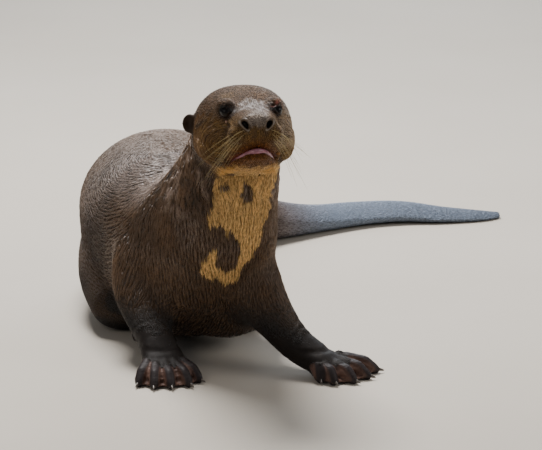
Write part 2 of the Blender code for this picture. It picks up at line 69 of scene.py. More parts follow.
# ---------- the animal's sizes
# A station is x, y, z, half width, half height above the line, half height below it.
SPINE = [
    (4, 58, 352, 54, 48, 54),
    (-6, 92, 326, 60, 56, 60),
    (-13, 105, 286, 67, 68, 66),
    (-24, 125, 242, 76, 80, 80),
    (-40, 156, 198, 91, 88, 108),
    (-66, 206, 160, 106, 98, 145),
    (-96, 282, 148, 116, 106, 150),
    (-111, 365, 142, 124, 110, 150),
    (-113, 445, 134, 124, 108, 144),
    (-101, 525, 116, 110, 98, 124),
    (-78, 592, 90, 87, 80, 98),
    (-44, 642, 62, 62, 58, 66),
    (2, 680, 42, 52, 44, 46),
]
TRUNK_FULLNESS = 2.3  # how square the belly's section is; 2 is an ellipse
TAIL = [
    (-44, 642, 62, 60, 56, 64),
    (2, 680, 42, 51, 40, 44),
    (54, 712, 28, 46, 27, 32),
    (118, 752, 19, 44, 16, 23),
    (182, 786, 15, 44, 13, 18),
    (248, 800, 14, 41, 11, 16),
    (312, 798, 9, 35, 8, 12),
    (370, 800, 6, 25, 6, 9),
    (404, 806, 5, 13, 4, 7),
]
FORELEGS = {
    "right": [
        (-92, 186, 172, 62, 64, 66),
        (-122, 178, 136, 58, 56, 58),
        (-136, 156, 96, 44, 45, 46),
        (-128, 122, 64, 33, 33, 33),
        (-116, 90, 44, 28, 24, 32),
        (-106, 66, 30, 32, 16, 31),
        (-100, 46, 22, 33, 11, 22),
    ],
    "left": [
        (-20, 160, 156, 60, 60, 60),
        (8, 142, 118, 48, 48, 48),
        (31, 118, 86, 37, 38, 38),
        (55, 94, 60, 30, 30, 30),
        (79, 76, 42, 26, 23, 31),
        (112, 59, 28, 29, 14, 29),
        (133, 53, 20, 27, 9, 20),
    ],
}
BRISKET_AT, BRISKET_RADII = (-24, 186, 84), (80, 76, 70)
PAW_REACH = 66.0  # from the middle of its claws back to the wrist
HINDLEGS = {
    "right": [
        (-122, 496, 104, 78, 80, 100),
        (-154, 410, 90, 80, 78, 94),
        (-172, 318, 68, 66, 62, 70),
        (-170, 240, 40, 46, 42, 44),
    ],
    "left": [
        (-94, 500, 104, 74, 78, 100),
        (-62, 425, 90, 78, 74, 92),
        (-36, 350, 68, 62, 58, 70),
        (-26, 300, 44, 44, 38, 46),
    ],
}
HINDFEET = {
    "right": [(-152, 345, 26, 24, 24, 28), (-146, 302, 22, 26, 20, 25), (-136, 264, 16, 28, 14, 18)],
    "left": [(-4, 382, 26, 24, 24, 28), (-2, 344, 22, 26, 20, 25), (4, 308, 16, 30, 14, 18)],
}
# A paw's digits, thumb first: where each tip stands on the floor, and where the digits fan out from.
PAWS = {
    "fore_right": {"wrist": (-112, 80), "tips": [(-53, 28), (-67, 10), (-92, 2), (-116, 1), (-138, 12)]},
    "fore_left": {"wrist": (96, 70), "tips": [(109, 26), (129, 17), (157, 24), (177, 43), (189, 70)]},
    "hind_right": {"wrist": (-137, 276),
                   "tips": [(-108, 224), (-111, 205), (-121, 194), (-135, 192), (-149, 201)]},
    "hind_left": {"wrist": (2, 320), "tips": [(-24, 264), (-10, 247), (11, 240), (33, 247), (48, 266)]},
}
DIGITS = ("thumb", "second", "third", "fourth", "fifth")
DIGIT_LENGTH_SHARE = (0.40, 0.72, 0.90, 1.0)
DIGIT_HEIGHT = {"fore": (23, 18.5, 9.5, 6), "hind": (20, 15, 8.5, 6)}
DIGIT_RADIUS = (9.5, 9.3, 7.8, 4.5)
SOLE_PRESS = 1.5  # how far a digit is pressed into the floor
WEB_THICKNESS = 4.6
WEB_TO, WEB_SCALLOP = 0.93, 0.14  # how far along the digits it reaches, and how deep its edge is cut
CLAW_LENGTH, CLAW_RADIUS = 10.0, 2.3
CLAW_REACH, CLAW_RAISE = 3.6, -0.8  # its middle from the digit's tip

# The head's own frame: x to the animal's left, b backwards from the tip of the nose, u upwards.
NOSE = (25.0, -60.0, 392.5)
HEAD_YAW, HEAD_PITCH, HEAD_ROLL = 11.7, 17.0, -1.5
# A ring of the skull or the jaw is how far back it is, its half width, its top and its bottom.
SKULL = [
    (0, 15, 6, -9),
    (3, 21.5, 10, -15),
    (9, 26.5, 13.5, -23),
    (18, 31, 16.5, -32),
    (30, 36, 20.5, -42),
    (44, 43.5, 28, -50),
    (60, 53, 40, -56),
    (80, 61.5, 49, -60),
    (100, 66, 53, -62),
    (120, 66.5, 52, -64),
    (142, 64, 47, -66),
    (166, 60, 36, -68),
]
JAW = [
    (13, 12, -37, -46),
    (17, 17, -35, -51),
    (26, 22, -35, -55),
    (40, 29, -36, -59),
    (60, 37, -38, -63),
    (84, 44, -38, -66),
    (112, 48, -38, -70),
]
# Whisker pads, brows and cheeks, one on each side: the middle and the three radii.
LUMPS = [((20, 22, -15), (18.5, 17, 15)), ((33, 50, 24), (13, 17, 10)), ((41, 86, -22), (24, 42, 32))]
EYE_AT, EYE_RADIUS = (33.0, 44, 14), 8.0
EAR_AT = {-1: (69, 118, 3), 1: (60, 126, 6)}  # the left one is folded back against the neck
EAR_RADII = (12, 8, 14.5)
NOSTRIL_AT, NOSTRIL_HALF = (15.3, 2.5, -4.2), (3.7, 6.3)
MOUTH_MIDDLE, MOUTH_TOP, MOUTH_DROP = 2.5, -34.8, 14.0
WRISTS = {"right": ((-116, 90, 44), (-106, 66, 30)), "left": ((79, 76, 42), (112, 63, 28))}

# The skin and the coat
BODY_VOXEL, HEAD_VOXEL, SKIN_VOXEL = 5.0, 2.5, (2.1)
SKIN_TRIANGLES = 185000
KINDS = ("head", "trunk", "tail", "leg", "paw")
ON_HEAD, ON_TRUNK, ON_TAIL, ON_LEG, ON_PAW = range(5)  # a share's columns, in the order of KINDS
COAT_DEPTH = (1.3, 2.2, 1.4, 1.5, 0.25)  # on each kind of limb
COVERAGE = 2.3  # how many locks lie over each spot
LOCKS_PER_PIECE = 19000  # ten triangles each


# ---------- the two frames
def head_matrix():
    """From the head's own x, b, u to the working frame, both in millimetres."""
    yaw, pitch, roll = (math.radians(angle) for angle in (HEAD_YAW, HEAD_PITCH, HEAD_ROLL))
    turn = Matrix.Rotation(yaw, 4, "Z") @ Matrix.Rotation(-pitch, 4, "X") @ Matrix.Rotation(-roll, 4, "Y")
    return Matrix.Translation(NOSE) @ turn


HEAD = np.array(head_matrix())
EYE_BOX = np.array(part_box("eye_left"))
PLACE = EYE_BOX.mean(axis=0) / MM - (HEAD[:3, :3] @ EYE_AT + HEAD[:3, 3])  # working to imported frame, mm


def from_head(points):
    """Points of the head's frame in the working frame."""
    return np.asarray(points) @ HEAD[:3, :3].T + HEAD[:3, 3]


def to_head(points):
    """Points of the working frame in the head's frame."""
    return (np.asarray(points) - HEAD[:3, 3]) @ HEAD[:3, :3]


def unit(vectors):
    """The vectors at length 1."""
    return vectors / np.maximum(np.linalg.norm(vectors, axis=-1, keepdims=True), 1e-9)


def smooth(x, start, end):
    """0 before start, 1 after end, and a smooth step between them."""
    t = np.clip((x - start) / (end - start), 0, 1)
    return t * t * (3 - 2 * t)


def bell(x, width):
    """1 at nothing, fading either way: e to the minus square of x over the width."""
    return np.exp(-((x / width) ** 2))


# ---------- surfaces from numpy
def through(points, steps=5):
    """A smooth path through the points, with a number of steps between two of them: a cubic whose slope at
    each point is half the way from the point before it to the point after it."""
    given = np.asarray(points, float)
    ends = np.vstack([2 * given[0] - given[1], given, 2 * given[-1] - given[-2]])
    a, b, c, d = (ends[i : len(ends) - 3 + i, None] for i in range(4))
    t = np.linspace(0, 1, steps, endpoint=False)[None, :, None]
    curve = 2 * b + (c - a) * t + (2 * a - 5 * b + 4 * c - d) * t**2 + (3 * b - a - 3 * c + d) * t**3
    return np.vstack([(curve / 2).reshape(-1, given.shape[1]), given[-1:]])


def grid_faces(rows, columns, closed=True):
    """The quads of a grid of points laid out row by row; closed joins the last column to the first."""
    i = np.arange(rows - 1)[:, None] * columns
    j = np.arange(columns if closed else columns - 1)[None, :]
    k = (j + 1) % columns
    return np.stack([i + j, i + k, i + columns + k, i + columns + j], axis=-1).reshape(-1, 4)


def closed_tube(rings):
    """Points and faces of a tube through rings, with a fan of triangles to a pole at each end."""
    rows, columns = rings.shape[:2]
    points = np.vstack([rings.reshape(-1, 3), rings[0].mean(axis=0), rings[-1].mean(axis=0)])
    j = np.arange(columns)
    k = (j + 1) % columns
    last = (rows - 1) * columns
    first_pole, last_pole = rows * columns, rows * columns + 1
    start = np.column_stack([k, j, np.full(columns, first_pole)])
    end = np.column_stack([last + j, last + k, np.full(columns, last_pole)])
    return points, [*grid_faces(rows, columns).tolist(), *start.tolist(), *end.tolist()]


def domed(ring, outwards, size, reach=0.55):
    """Rings that close a tube's end as a dome: each shrinks by a cosine as it moves out by the sine."""
    middle = ring.mean(axis=0)
    turn = np.radians([80, 60, 38, 18])[:, None, None]
    return middle + (ring - middle) * np.cos(turn) + outwards * (reach * min(size)) * np.sin(turn)


def loft(stations, sides=40, steps=6, belly=2.0):
    """A tube of oval rings along a path: half width times a power of the cosine across it, and the height
    above or below times a power of the sine. Its width stays level. A belly over 2 squares the lower half."""
    path = through(stations, steps)
    centre, size = path[:, :3], path[:, 3:]
    along = unit(np.gradient(centre, axis=0))
    across = unit(np.cross(along, (0, 0, 1)))
    above = np.cross(across, along)
    turn = np.linspace(0, 2 * math.pi, sides, endpoint=False)
    power = np.where(np.sin(turn) > 0, 1.0, 2 / belly)
    wide = np.sign(np.cos(turn)) * np.abs(np.cos(turn)) ** power
    high = np.sign(np.sin(turn)) * np.abs(np.sin(turn)) ** power
    height = np.where(high > 0, size[:, 1:2], size[:, 2:3]) * high
    rings = centre[:, None] + across[:, None] * (size[:, :1] * wide)[..., None]
    rings = rings + above[:, None] * height[..., None]
    start = domed(rings[0], -along[0], size[0])
    end = domed(rings[-1], along[-1], size[-1])[::-1]
    return closed_tube(np.concatenate([start, rings, end]))


def head_loft(stations, sides=56, power=2.35):
    """Rings across the head's length: ovals slightly squared, widest at 45% of their height."""
    path = through(stations, 6)
    back, half, top, bottom = (path[:, i : i + 1] for i in range(4))
    turn = np.linspace(0, 2 * math.pi, sides, endpoint=False)[None]
    cos, sin = np.cos(turn), np.sin(turn)
    middle = bottom + 0.45 * (top - bottom)
    x = half * np.sign(cos) * np.abs(cos) ** (2 / power)
    z = np.sign(sin) * np.abs(sin) ** (2 / power)
    z = middle + z * np.where(z > 0, top - middle, middle - bottom)
    points, faces = closed_tube(np.stack([x, np.broadcast_to(back, x.shape), z], axis=-1))
    return from_head(points), faces


def globe(at, radii, sides=40):
    """A sphere by latitude and longitude, stretched to three radii."""
    rows = sides // 2
    up = np.linspace(-math.pi / 2, math.pi / 2, rows + 1)[1:-1, None]
    turn = np.linspace(0, 2 * math.pi, sides, endpoint=False)[None]
    rings = np.stack([np.cos(up) * np.cos(turn), np.cos(up) * np.sin(turn), np.sin(up) + 0 * turn], axis=-1)
    points, faces = closed_tube(rings)
    points[-2:] = ((0, 0, -1), (0, 0, 1))
    return points * radii + at, faces


def in_head(shape):
    """A shape of the head's frame in the working frame."""
    points, faces = shape
    return from_head(points), faces


def ear_flap(side):
    """A cupped round flap: a disc of points whose face is pushed in by a bowl, and whose back is a dome."""
    x, b, u = EAR_AT[side]
    points, faces = globe((0, 0, 0), (1, 1, 1), 36)
    cup = bell(np.hypot(points[:, 0] - 0.15, points[:, 2]), 0.62)
    front = points[:, 1] < 0
    points[:, 1] = np.where(front, points[:, 1] + 1.15 * cup, points[:, 1])
    points = points * EAR_RADII
    points[:, 0] *= side
    if side < 0:
        faces = [face[::-1] for face in faces]
    return from_head(points + (side * x, b, u)), faces


def digit_line(limb, wrist, tip):
    """Knuckle, middle joint, pad and tip of a digit."""
    start, end = np.array(wrist, float), np.array(tip, float)
    share = np.array(DIGIT_LENGTH_SHARE)[:, None]
    return np.column_stack([start + share * (end - start), DIGIT_HEIGHT[limb]])


def digit(line):
    """A digit's tube along its line, pressed a little into the sole."""
    radius = np.array(DIGIT_RADIUS)
    stations = np.column_stack([line, radius, radius, line[:, 2] + SOLE_PRESS])
    stations[-1, 2] = radius[-1]
    return loft(stations, sides=24)


def web(line, other):
    """The skin between two digits: straight lines from one to the other, sagging by a sine between them and
    ending in a scalloped edge, its underside one thickness lower."""
    steps = 14
    near, far = through(line, 8), through(other, 8)
    v = np.linspace(0, 1, steps)[:, None]
    share = np.linspace(0, 1, steps)[None] * (WEB_TO - WEB_SCALLOP * np.sin(math.pi * v)) * (len(near) - 1)
    ticks = np.arange(len(near))
    a = np.stack([np.interp(share, ticks, near[:, i]) for i in range(3)], axis=-1)
    b = np.stack([np.interp(share, ticks, far[:, i]) for i in range(3)], axis=-1)
    sheet = a * (1 - v[..., None]) + b * v[..., None]
    sheet[..., 2] = np.maximum(sheet[..., 2] * (0.72 - 0.18 * np.sin(math.pi * v)), 3.4)
    half = np.array((0, 0, WEB_THICKNESS / 2))
    return closed_tube(np.concatenate([sheet + half, (sheet - half)[:, ::-1]], axis=1))


DIGIT_LINES = {paw: [digit_line(paw.split("_")[0], spec["wrist"], tip) for tip in spec["tips"]]
               for paw, spec in PAWS.items()}


# ---------- meshes and objects
def mesh_of(name, points, faces):
    """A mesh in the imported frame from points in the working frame."""
    mesh = bpy.data.meshes.new(name)
    mesh.from_pydata(((points + PLACE) * MM).tolist(), [], faces)
    mesh.update()
    return mesh


def add_object(name, mesh):
    """A new object at the origin, in the scene."""
    obj = bpy.data.objects.new(name, mesh)
    bpy.context.scene.collection.objects.link(obj)
    return obj


def joined(name, shapes):
    """One object of several closed shapes, normals outwards."""
    starts = np.cumsum([0] + [len(points) for points, _ in shapes])
    faces = [[i + int(start) for i in face] for (_, some), start in zip(shapes, starts) for face in some]
    obj = add_object(name, mesh_of(name, np.vstack([points for points, _ in shapes]), faces))
    shape = bmesh.new()
    shape.from_mesh(obj.data)
    bmesh.ops.recalc_face_normals(shape, faces=shape.faces)
    shape.to_mesh(obj.data)
    shape.free()
    return obj


def settled(obj):
    """The object with its modifiers applied."""
    graph = bpy.context.evaluated_depsgraph_get()
    mesh = bpy.data.meshes.new_from_object(obj.evaluated_get(graph), depsgraph=graph)
    obj.modifiers.clear()
    obj.data = mesh
    return obj


def fused(obj, voxel, rounds):
    """The object's overlapping shapes made one skin of voxels, softened some rounds."""
    remesh = obj.modifiers.new("fuse", "REMESH")
    remesh.mode = "VOXEL"
    remesh.voxel_size = voxel * MM
    soften = obj.modifiers.new("soften", "SMOOTH")
    soften.factor = 0.5
    soften.iterations = rounds
    return settled(obj)


def places(mesh):
    """The mesh's vertices in the working frame, millimetres."""
    found = np.empty(len(mesh.vertices) * 3)
    mesh.vertices.foreach_get("co", found)
    return found.reshape(-1, 3) / MM - PLACE


def set_places(mesh, points):
    """The mesh's vertices moved to points in the working frame."""
    mesh.vertices.foreach_set("co", ((points + PLACE) * MM).ravel())
    mesh.update()


def normals_of(mesh):
    """The mesh's normals at its vertices."""
    found = np.empty(len(mesh.vertices) * 3)
    mesh.vertex_normals.foreach_get("vector", found)
    return found.reshape(-1, 3)


def give(mesh, name, values):
    """A number at each vertex, for the materials to read."""
    mesh.attributes.new(name, "FLOAT", "POINT").data.foreach_set("value", np.asarray(values, np.float32))


# ---------- bones of the coat
def bone(stations, kind):
    """Steps along one line of the body: their places, directions, radii, distance along it and kind."""
    path = through(stations, 2 if kind == "paw" else 3)
    ahead = unit(np.gradient(path[:, :3], axis=0))
    run = np.concatenate([[0], np.cumsum(np.linalg.norm(np.diff(path[:, :3], axis=0), axis=1))])
    return {"at": path[:, :3], "ahead": ahead, "radius": path[:, 3:].mean(axis=1), "run": run, "kind": kind}


def head_bone():
    """The same for the head, along the middle of its rings and a little downwards at the cheeks."""
    path = through(SKULL, 3)
    middle = np.column_stack([0 * path[:, 0], path[:, 0], 0.5 * (path[:, 2] + path[:, 3])])
    radius = (path[:, 1] + 0.5 * (path[:, 2] - path[:, 3])) / 2
    ahead = np.tile(HEAD[:3, :3] @ unit(np.array((0, 1.0, -0.15))), (len(path), 1))
    return {"at": from_head(middle), "ahead": ahead, "radius": radius, "run": path[:, 0], "kind": "head"}


def all_bones():
    """Every line of the body that the coat follows."""
    bones = [head_bone(), bone(SPINE, "trunk"), bone(TAIL, "tail")]
    bones += [bone(line, "leg") for line in (*FORELEGS.values(), *HINDLEGS.values(), *HINDFEET.values())]
    radii = np.tile(DIGIT_RADIUS, (3, 1)).T
    digits = [line for lines in DIGIT_LINES.values() for line in lines]
    return bones + [bone(np.column_stack([line, radii]), "paw") for line in digits]


BONES = all_bones()
STEP_AT = np.vstack([b["at"] for b in BONES]).astype(np.float32)
STEP_AHEAD = np.vstack([b["ahead"] for b in BONES]).astype(np.float32)
STEP_RADIUS = np.concatenate([b["radius"] for b in BONES]).astype(np.float32)
STEP_KIND = np.vstack([np.tile(np.array(KINDS) == b["kind"], (len(b["at"]), 1)) for b in BONES])
STEP_KIND = STEP_KIND.astype(np.float32)
CHUNK = 40000  # points followed at one time


def follow(points):
    """Where each point lies on the body: the coat's direction there, how far it belongs to each kind of
    limb (its share), and the nearest step of a bone. Each step counts by a bell of its distance in its own
    radii."""
    flow, share = np.empty((len(points), 3)), np.empty((len(points), len(KINDS)))
    nearest = np.empty(len(points), int)
    for start in range(0, len(points), CHUNK):
        some = slice(start, start + CHUNK)
        here = points[some].astype(np.float32)
        square = (here**2).sum(axis=1)[:, None] + (STEP_AT**2).sum(axis=1) - 2 * here @ STEP_AT.T
        away = np.maximum(square, 0) / STEP_RADIUS**2
        nearest[some] = away.argmin(axis=1)
        weight = np.exp(-5.0 * (away - away.min(axis=1, keepdims=True)))
        weight /= weight.sum(axis=1, keepdims=True)
        flow[some] = weight @ STEP_AHEAD
        share[some] = weight @ STEP_KIND
    return flow, share, nearest


def tangent(flow, normals):
    """The direction along the surface nearest to the flow."""
    return unit(flow - (flow * normals).sum(axis=1, keepdims=True) * normals)


def ripples(points, spacing, seed, waves=7):
    """A smooth uneven field between about -1 and 1: plane waves of random direction and like length,
    added."""
    own = np.random.default_rng(seed)
    way = unit(own.normal(size=(waves, 3))) / (spacing * own.uniform(0.7, 1.5, (waves, 1)))
    return np.sin(points @ way.T * 2 * math.pi + own.uniform(0, 6.3, waves)).sum(axis=1) / math.sqrt(waves)


# ---------- markings
# The throat's cream bib: its outline across the front of the neck and the chest, x and z, and the brown spots
# in it, each by its centre and half sizes.
BIB = [
    (-18, 338), (-27, 318), (-29, 292), (-34, 275), (-37, 250), (-41, 226), (-39, 213), (-29, 216),
    (-21, 213), (-17, 199), (-15, 206), (-7, 203), (-2, 190), (1, 175), (-1, 160), (-10, 146), (-20, 140),
    (-27, 146), (-33, 158), (-30, 178), (-37, 178), (-46, 168), (-55, 146), (-49, 134), (-34, 134),
    (-17, 122), (-4, 125), (-1, 140), (4, 150), (16, 161), (24, 176), (29, 196), (32, 208), (40, 224),
    (43, 252), (48, 274), (53, 292), (60, 318), (58, 338),
]
BIB_SPOTS = [((10, 261), (8.5, 15)), ((-14, 300), (11, 5)), ((-21, 272), (7, 4.5)), ((-29, 235), (2.5, 2)),
             ((-20, 235), (2, 1.6))]


def inside_outline(points, outline):
    """Distance from a closed outline in the plane, positive inside it: the nearest distance to any of its
    sides, signed by how many sides a level line from the point crosses."""
    a = np.array(outline, float)
    b = np.roll(a, -1, axis=0)
    to, side = points[:, None] - a, b - a
    t = np.clip((to * side).sum(axis=2) / (side**2).sum(axis=1), 0, 1)
    gap = np.linalg.norm(to - t[..., None] * side, axis=2).min(axis=1)
    spans = (a[:, 1] > points[:, None, 1]) != (b[:, 1] > points[:, None, 1])
    rise = np.where(side[:, 1] == 0, 1e-9, side[:, 1])
    cross = spans & (points[:, None, 0] < a[:, 0] + to[..., 1] / rise * side[:, 0])
    return np.where(cross.sum(axis=1) % 2 == 1, gap, -gap)


def throat_bib(points, normals, local, on_head, wobble):
    """The cream bib: inside its outline on the front of the neck, less its spots. On the head it starts
    where the chin's brown ends, along a ragged line, and runs back under the jaw."""
    x, b, u = local.T
    front = (normals[:, 1] < 0.35) & (points[:, 1] < 175)
    flat = points[:, [0, 2]]
    bib = smooth(inside_outline(flat, BIB) + wobble, -1.0, 1.2)
    clear = np.ones(len(points))
    for (cx, cz), (rx, rz) in BIB_SPOTS:
        reach = np.hypot((flat[:, 0] - cx) / rx, (flat[:, 1] - cz) / rz)
        clear *= smooth(reach + 0.10 * wobble, 0.85, 1.15)
    ragged = 3.0 * wobble + 9.0 * ripples(points, 13, 14)
    start = smooth(b + 0.6 * np.abs(x + 4) + ragged, 38, 86) * smooth(-u, 50, 57)
    under_jaw = start * (1 - smooth(np.abs(x - 2) + 4 * (x < 0), 30, 38)) * (1 - smooth(b, 70, 100))
    under_jaw *= 1 - 0.85 * bell(np.hypot((x + 26) / 9, (u + 62) / 3.5) + 0.15 * wobble, 0.9)
    on_neck = 1 - on_head * (1 - start * smooth(-u, 55, 60))
    return np.clip(bib * front * on_neck + under_jaw * on_head, 0, 1) * clear


def cheeks_and_lips(points, local, on_head):
    """Golden, on the muzzle, the left cheek and a patch over the right eye, and rusty, round the mouth. On
    the left cheek the golden is partly painted sunlight.
    """
    x, b, u = local.T
    face = on_head * (1 - smooth(b, 70, 125))
    golden = face * smooth(-u, -20, 6) * (0.62 + 0.3 * ripples(points, 10, 5))
    golden = golden * (1 - 0.5 * smooth(np.abs(x), 40, 62))
    golden *= 1 - 0.9 * bell(np.hypot(x / 12, (u - 6) / 14), 1) * (b < 60)
    # Painted sunlight: the left cheek more golden than the right.
    sunlit_left_cheek = smooth(x, 30, 40) * smooth(u, -44, -30) * (1 - smooth(u, 4, 24))
    golden = np.maximum(golden, 0.95 * face * sunlit_left_cheek)
    brow = bell(np.hypot((x + 26) / 10, (b - 65) / 8), 1) * (u > 15)
    golden = np.maximum(golden, face * brow * (0.6 + 0.4 * ripples(points, 5, 7)))
    below = u - mouth_height(x)
    rusty = face * bell(below, np.where(below < 0, 28, 10)) * (1 - smooth(np.abs(x - 1), 28, 42))
    return golden, rusty * (1 - smooth(b, 50, 86))


def face_sheen_paint(points, local, on_head, wobble):
    """Painted sheen, where the wet face shines pale: a band across the forehead, a stripe down the nose and,
    faintly, painted sunlight on the left cheek."""
    x, b, u = local.T
    band = 1 - smooth(np.hypot((x - 3) / 29, (b - 36) / 17) + 0.08 * wobble, 0.35, 1.1)
    stripe = bell(x - 7, 9) * (1 - smooth(b, 26, 40)) * smooth(b, -4, 4)
    # A painted reflection of the sky on the wet forehead and down the nose.
    painted_face_sheen = on_head * np.maximum(band, 0.9 * stripe) * smooth(u, -1, 7)
    painted_face_sheen *= np.clip(0.72 + 0.6 * ripples(points, 6, 15), 0.1, 1)
    sunny = smooth(x, 30, 44) * smooth(u, -44, -28) * (1 - smooth(u, 0, 22)) * (1 - smooth(b, 70, 95))
    sunny *= (1 - smooth(-u, 30, 44)) * (0.75 + 0.25 * ripples(points, 12, 24))
    return np.maximum(painted_face_sheen, 0.38 * on_head * sunny)


def hump_sheen_paint(points, share, wobble):
    """The painted grey sheen of the wet hump, the sky's reflection laid into its colour: behind the neck,
    further forward on the right side, fading down the flank, to the left and towards the loin."""
    x, y, z = points.T
    edge = smooth(y + 6 * ripples(points, 26, 25), 195, 255)
    edge += (smooth(y + 1.5 * wobble, 152, 166) - edge) * smooth(-x, 66, 96)
    painted_hump_sheen = edge * smooth(z + 6 * ripples(points, 45, 18), 182, 240)
    painted_hump_sheen *= 0.4 + 0.6 * smooth(-x, 50, 90)
    return painted_hump_sheen * ((share[:, ON_TRUNK] + share[:, ON_LEG]) * (1 - 0.74 * smooth(y, 250, 330)))


def dark_places(points, local):
    """Dark ears and dark rounds about the eyes: partly the fur's own dark, partly painted shade in the ears
    and the eye sockets.
    """
    shadow = 0.32 * ear_share(points)
    for side in (-1, 1):
        to = local - (side * EYE_AT[0] * 0.96, EYE_AT[1] - 3, EYE_AT[2] + 0.5)
        reach = np.linalg.norm(to * (1.0, 0.8, 1.25), axis=1) + 0.8 * ripples(points, 5, 12)
        shadow = np.maximum(shadow, 0.9 * (1 - smooth(reach, 9.5 - side, 15.5 - 2 * side)))
    return shadow


def markings(points, normals, share):
    """How strongly each marking shows at each point, from 0 to 1. Some are painted light: sheens on the face,
    the hump and the tail, and shade on the legs, in the ears and round the eyes.
    """
    local = to_head(points)
    x, b, u = local.T
    on_head = share[:, ON_HEAD]
    wobble = 1.6 * ripples(points, 9, 3) + 1.0 * ripples(points, 3.5, 4)
    golden, rusty = cheeks_and_lips(points, local, on_head)
    painted_face_sheen = face_sheen_paint(points, local, on_head, wobble)
    # Legs and paws darker, most near the floor: partly their own dark colour, partly painted shade.
    leg_top = np.where(points[:, 1] > 220, 30, 105)
    low_leg_dark_and_shade = 1 - smooth(points[:, 2] + 6 * ripples(points, 25, 9), 0.45 * leg_top, leg_top)
    muzzle = 1 - smooth(np.hypot(x / 21, (u - 2) / 14) + 0.08 * wobble, 0.45, 1.0)
    found = {
        "bib": throat_bib(points, normals, local, on_head, wobble),
        "tan": 0.5 * smooth(points[:, 2] - 0.25 * points[:, 0] + 8 * ripples(points, 22, 6), 262, 335),
        "golden": golden,
        "rusty": rusty,
        # Dark legs and paws, partly painted shade.
        "dark_legs_and_shade": share[:, ON_LEG] * low_leg_dark_and_shade + share[:, ON_PAW],
        # Painted grey-blue sheen of the sky on the tail, from its root back.
        "tail_sky_sheen": share[:, ON_TAIL] * smooth(points[:, 0], 0, 150),
        # Painted sheen of the wet face.
        "painted_face_sheen": painted_face_sheen,
        # Painted sky sheen on the wet hump.
        "painted_hump_sheen": hump_sheen_paint(points, share, wobble),
        "face": on_head * (1 - painted_face_sheen),
        "shadow": dark_places(points, local),
        "pad": on_head * (b < 26) * muzzle,
        "bare": smooth(share[:, ON_PAW], 0.25, 0.75),
    }
    return {name: np.clip(value, 0, 1) for name, value in found.items()}


def mouth_height(x):
    """The line between the lips, in the head's frame: an arch that falls towards the corners."""
    return MOUTH_TOP - MOUTH_DROP * (np.abs(x - MOUTH_MIDDLE) / 32) ** 2.0


# ---------- the skin's sculpting
def eye_middle(side):
    """The eyeball's centre in the head's frame."""
    return np.array((side * EYE_AT[0], EYE_AT[1], EYE_AT[2]))


def lid_axes(side):
    """The eye's gaze, the direction along its lids and the direction across them, in the head's frame."""
    gaze = unit(np.array((side * 0.62, -0.72, 0.30)))
    along = unit(np.cross(gaze, unit(np.array((side * 0.25, 0.1, 1.0)))))
    return gaze, along, np.cross(along, gaze)


def eye_opening(points, side):
    """How far outside the lids' edge each point of the head is, in millimetres along the eyeball, and its
    places along and across the lids: the opening is an oval drawn out towards its inner, lower corner."""
    gaze, along, across = lid_axes(side)
    to = unit(points - eye_middle(side)) * EYE_RADIUS
    p, q = to @ along * -side, to @ across
    depth = to @ gaze
    inner = np.clip(-p, 0, 9) / 9
    half = 4.3 * (1 - 0.35 * inner)
    reach = np.hypot(p / (5.4 + 0.7 * inner), (q + 1.0 * inner) / half)
    outside = (reach - 1) * 5.0
    return np.where(depth > 0, outside, 20.0), p, q


def sculpt_eyes(points):
    """Lids: the skin follows a ball a little larger than the eye, dips behind the eye inside the opening,
    and keeps a fold above it and a bag below it."""
    for side in (-1, 1):
        centre = eye_middle(side)
        to = points - centre
        far = np.linalg.norm(to, axis=1)
        out, _, q = eye_opening(points, side)
        near = (far < 26) & (out < 20)
        lid = EYE_RADIUS + 1.5 + 0.5 * bell(out - 1.2, 1.0) - 0.8 * bell(out - 3.8 - 0.6 * (q > 0), 0.9)
        lid = np.where(out < 0.6, EYE_RADIUS - 2.0 + 3.0 * smooth(out, -0.5, 0.6), lid)
        depth = to @ lid_axes(side)[0]
        pull = (1 - smooth(out, 2.5, 9.0)) * smooth(depth, -1.0, 3.5)
        pull = pull * (1 - smooth(far, EYE_RADIUS + 3, EYE_RADIUS + 9))
        size = np.where(near, far * (1 - pull) + lid * pull, far)
        size += np.where(near, -0.7 * bell(out - 8.5, 1.3) * (q > 0), 0)
        points = centre + to / np.maximum(far, 1e-6)[:, None] * size[:, None]
    return points


def nostril_reach(points, side):
    """1 on the nostril's rim and less inside it: a slanting comma, wider above than below."""
    x, b, u = points.T
    p = side * x - NOSTRIL_AT[0]
    q = u - NOSTRIL_AT[2]
    slant = math.radians(-35)
    p, q = p * math.cos(slant) + q * math.sin(slant), q * math.cos(slant) - p * math.sin(slant)
    p = p - 0.02 * q**2
    return np.hypot(p / (NOSTRIL_HALF[0] * (1 + 0.03 * q)), q / NOSTRIL_HALF[1])


def sculpt_nose(points):
    """Nostrils sunk backwards with a raised rim, and a groove that runs down from between them to the lip."""
    x, b, u = points.T
    front = 1 - smooth(b, 12, 22)
    push = np.zeros(len(points))
    for side in (-1, 1):
        reach = nostril_reach(points, side)
        push += 6.5 * (1 - smooth(reach, 0.55, 1.05)) - 1.0 * bell(reach - 1.40, 0.26)
    push += 1.6 * bell(x, 1.6) * smooth(-u, 4, 12) * (1 - smooth(-u, 26, 32))
    push -= 1.4 * bell(np.hypot(x / 9, (u + 3) / 8), 1)
    push += 1.2 * bell(np.hypot((np.abs(x) - 9) / 5, (u + 16) / 3), 1)
    points = points.copy()
    points[:, 1] = b + push * front
    return points


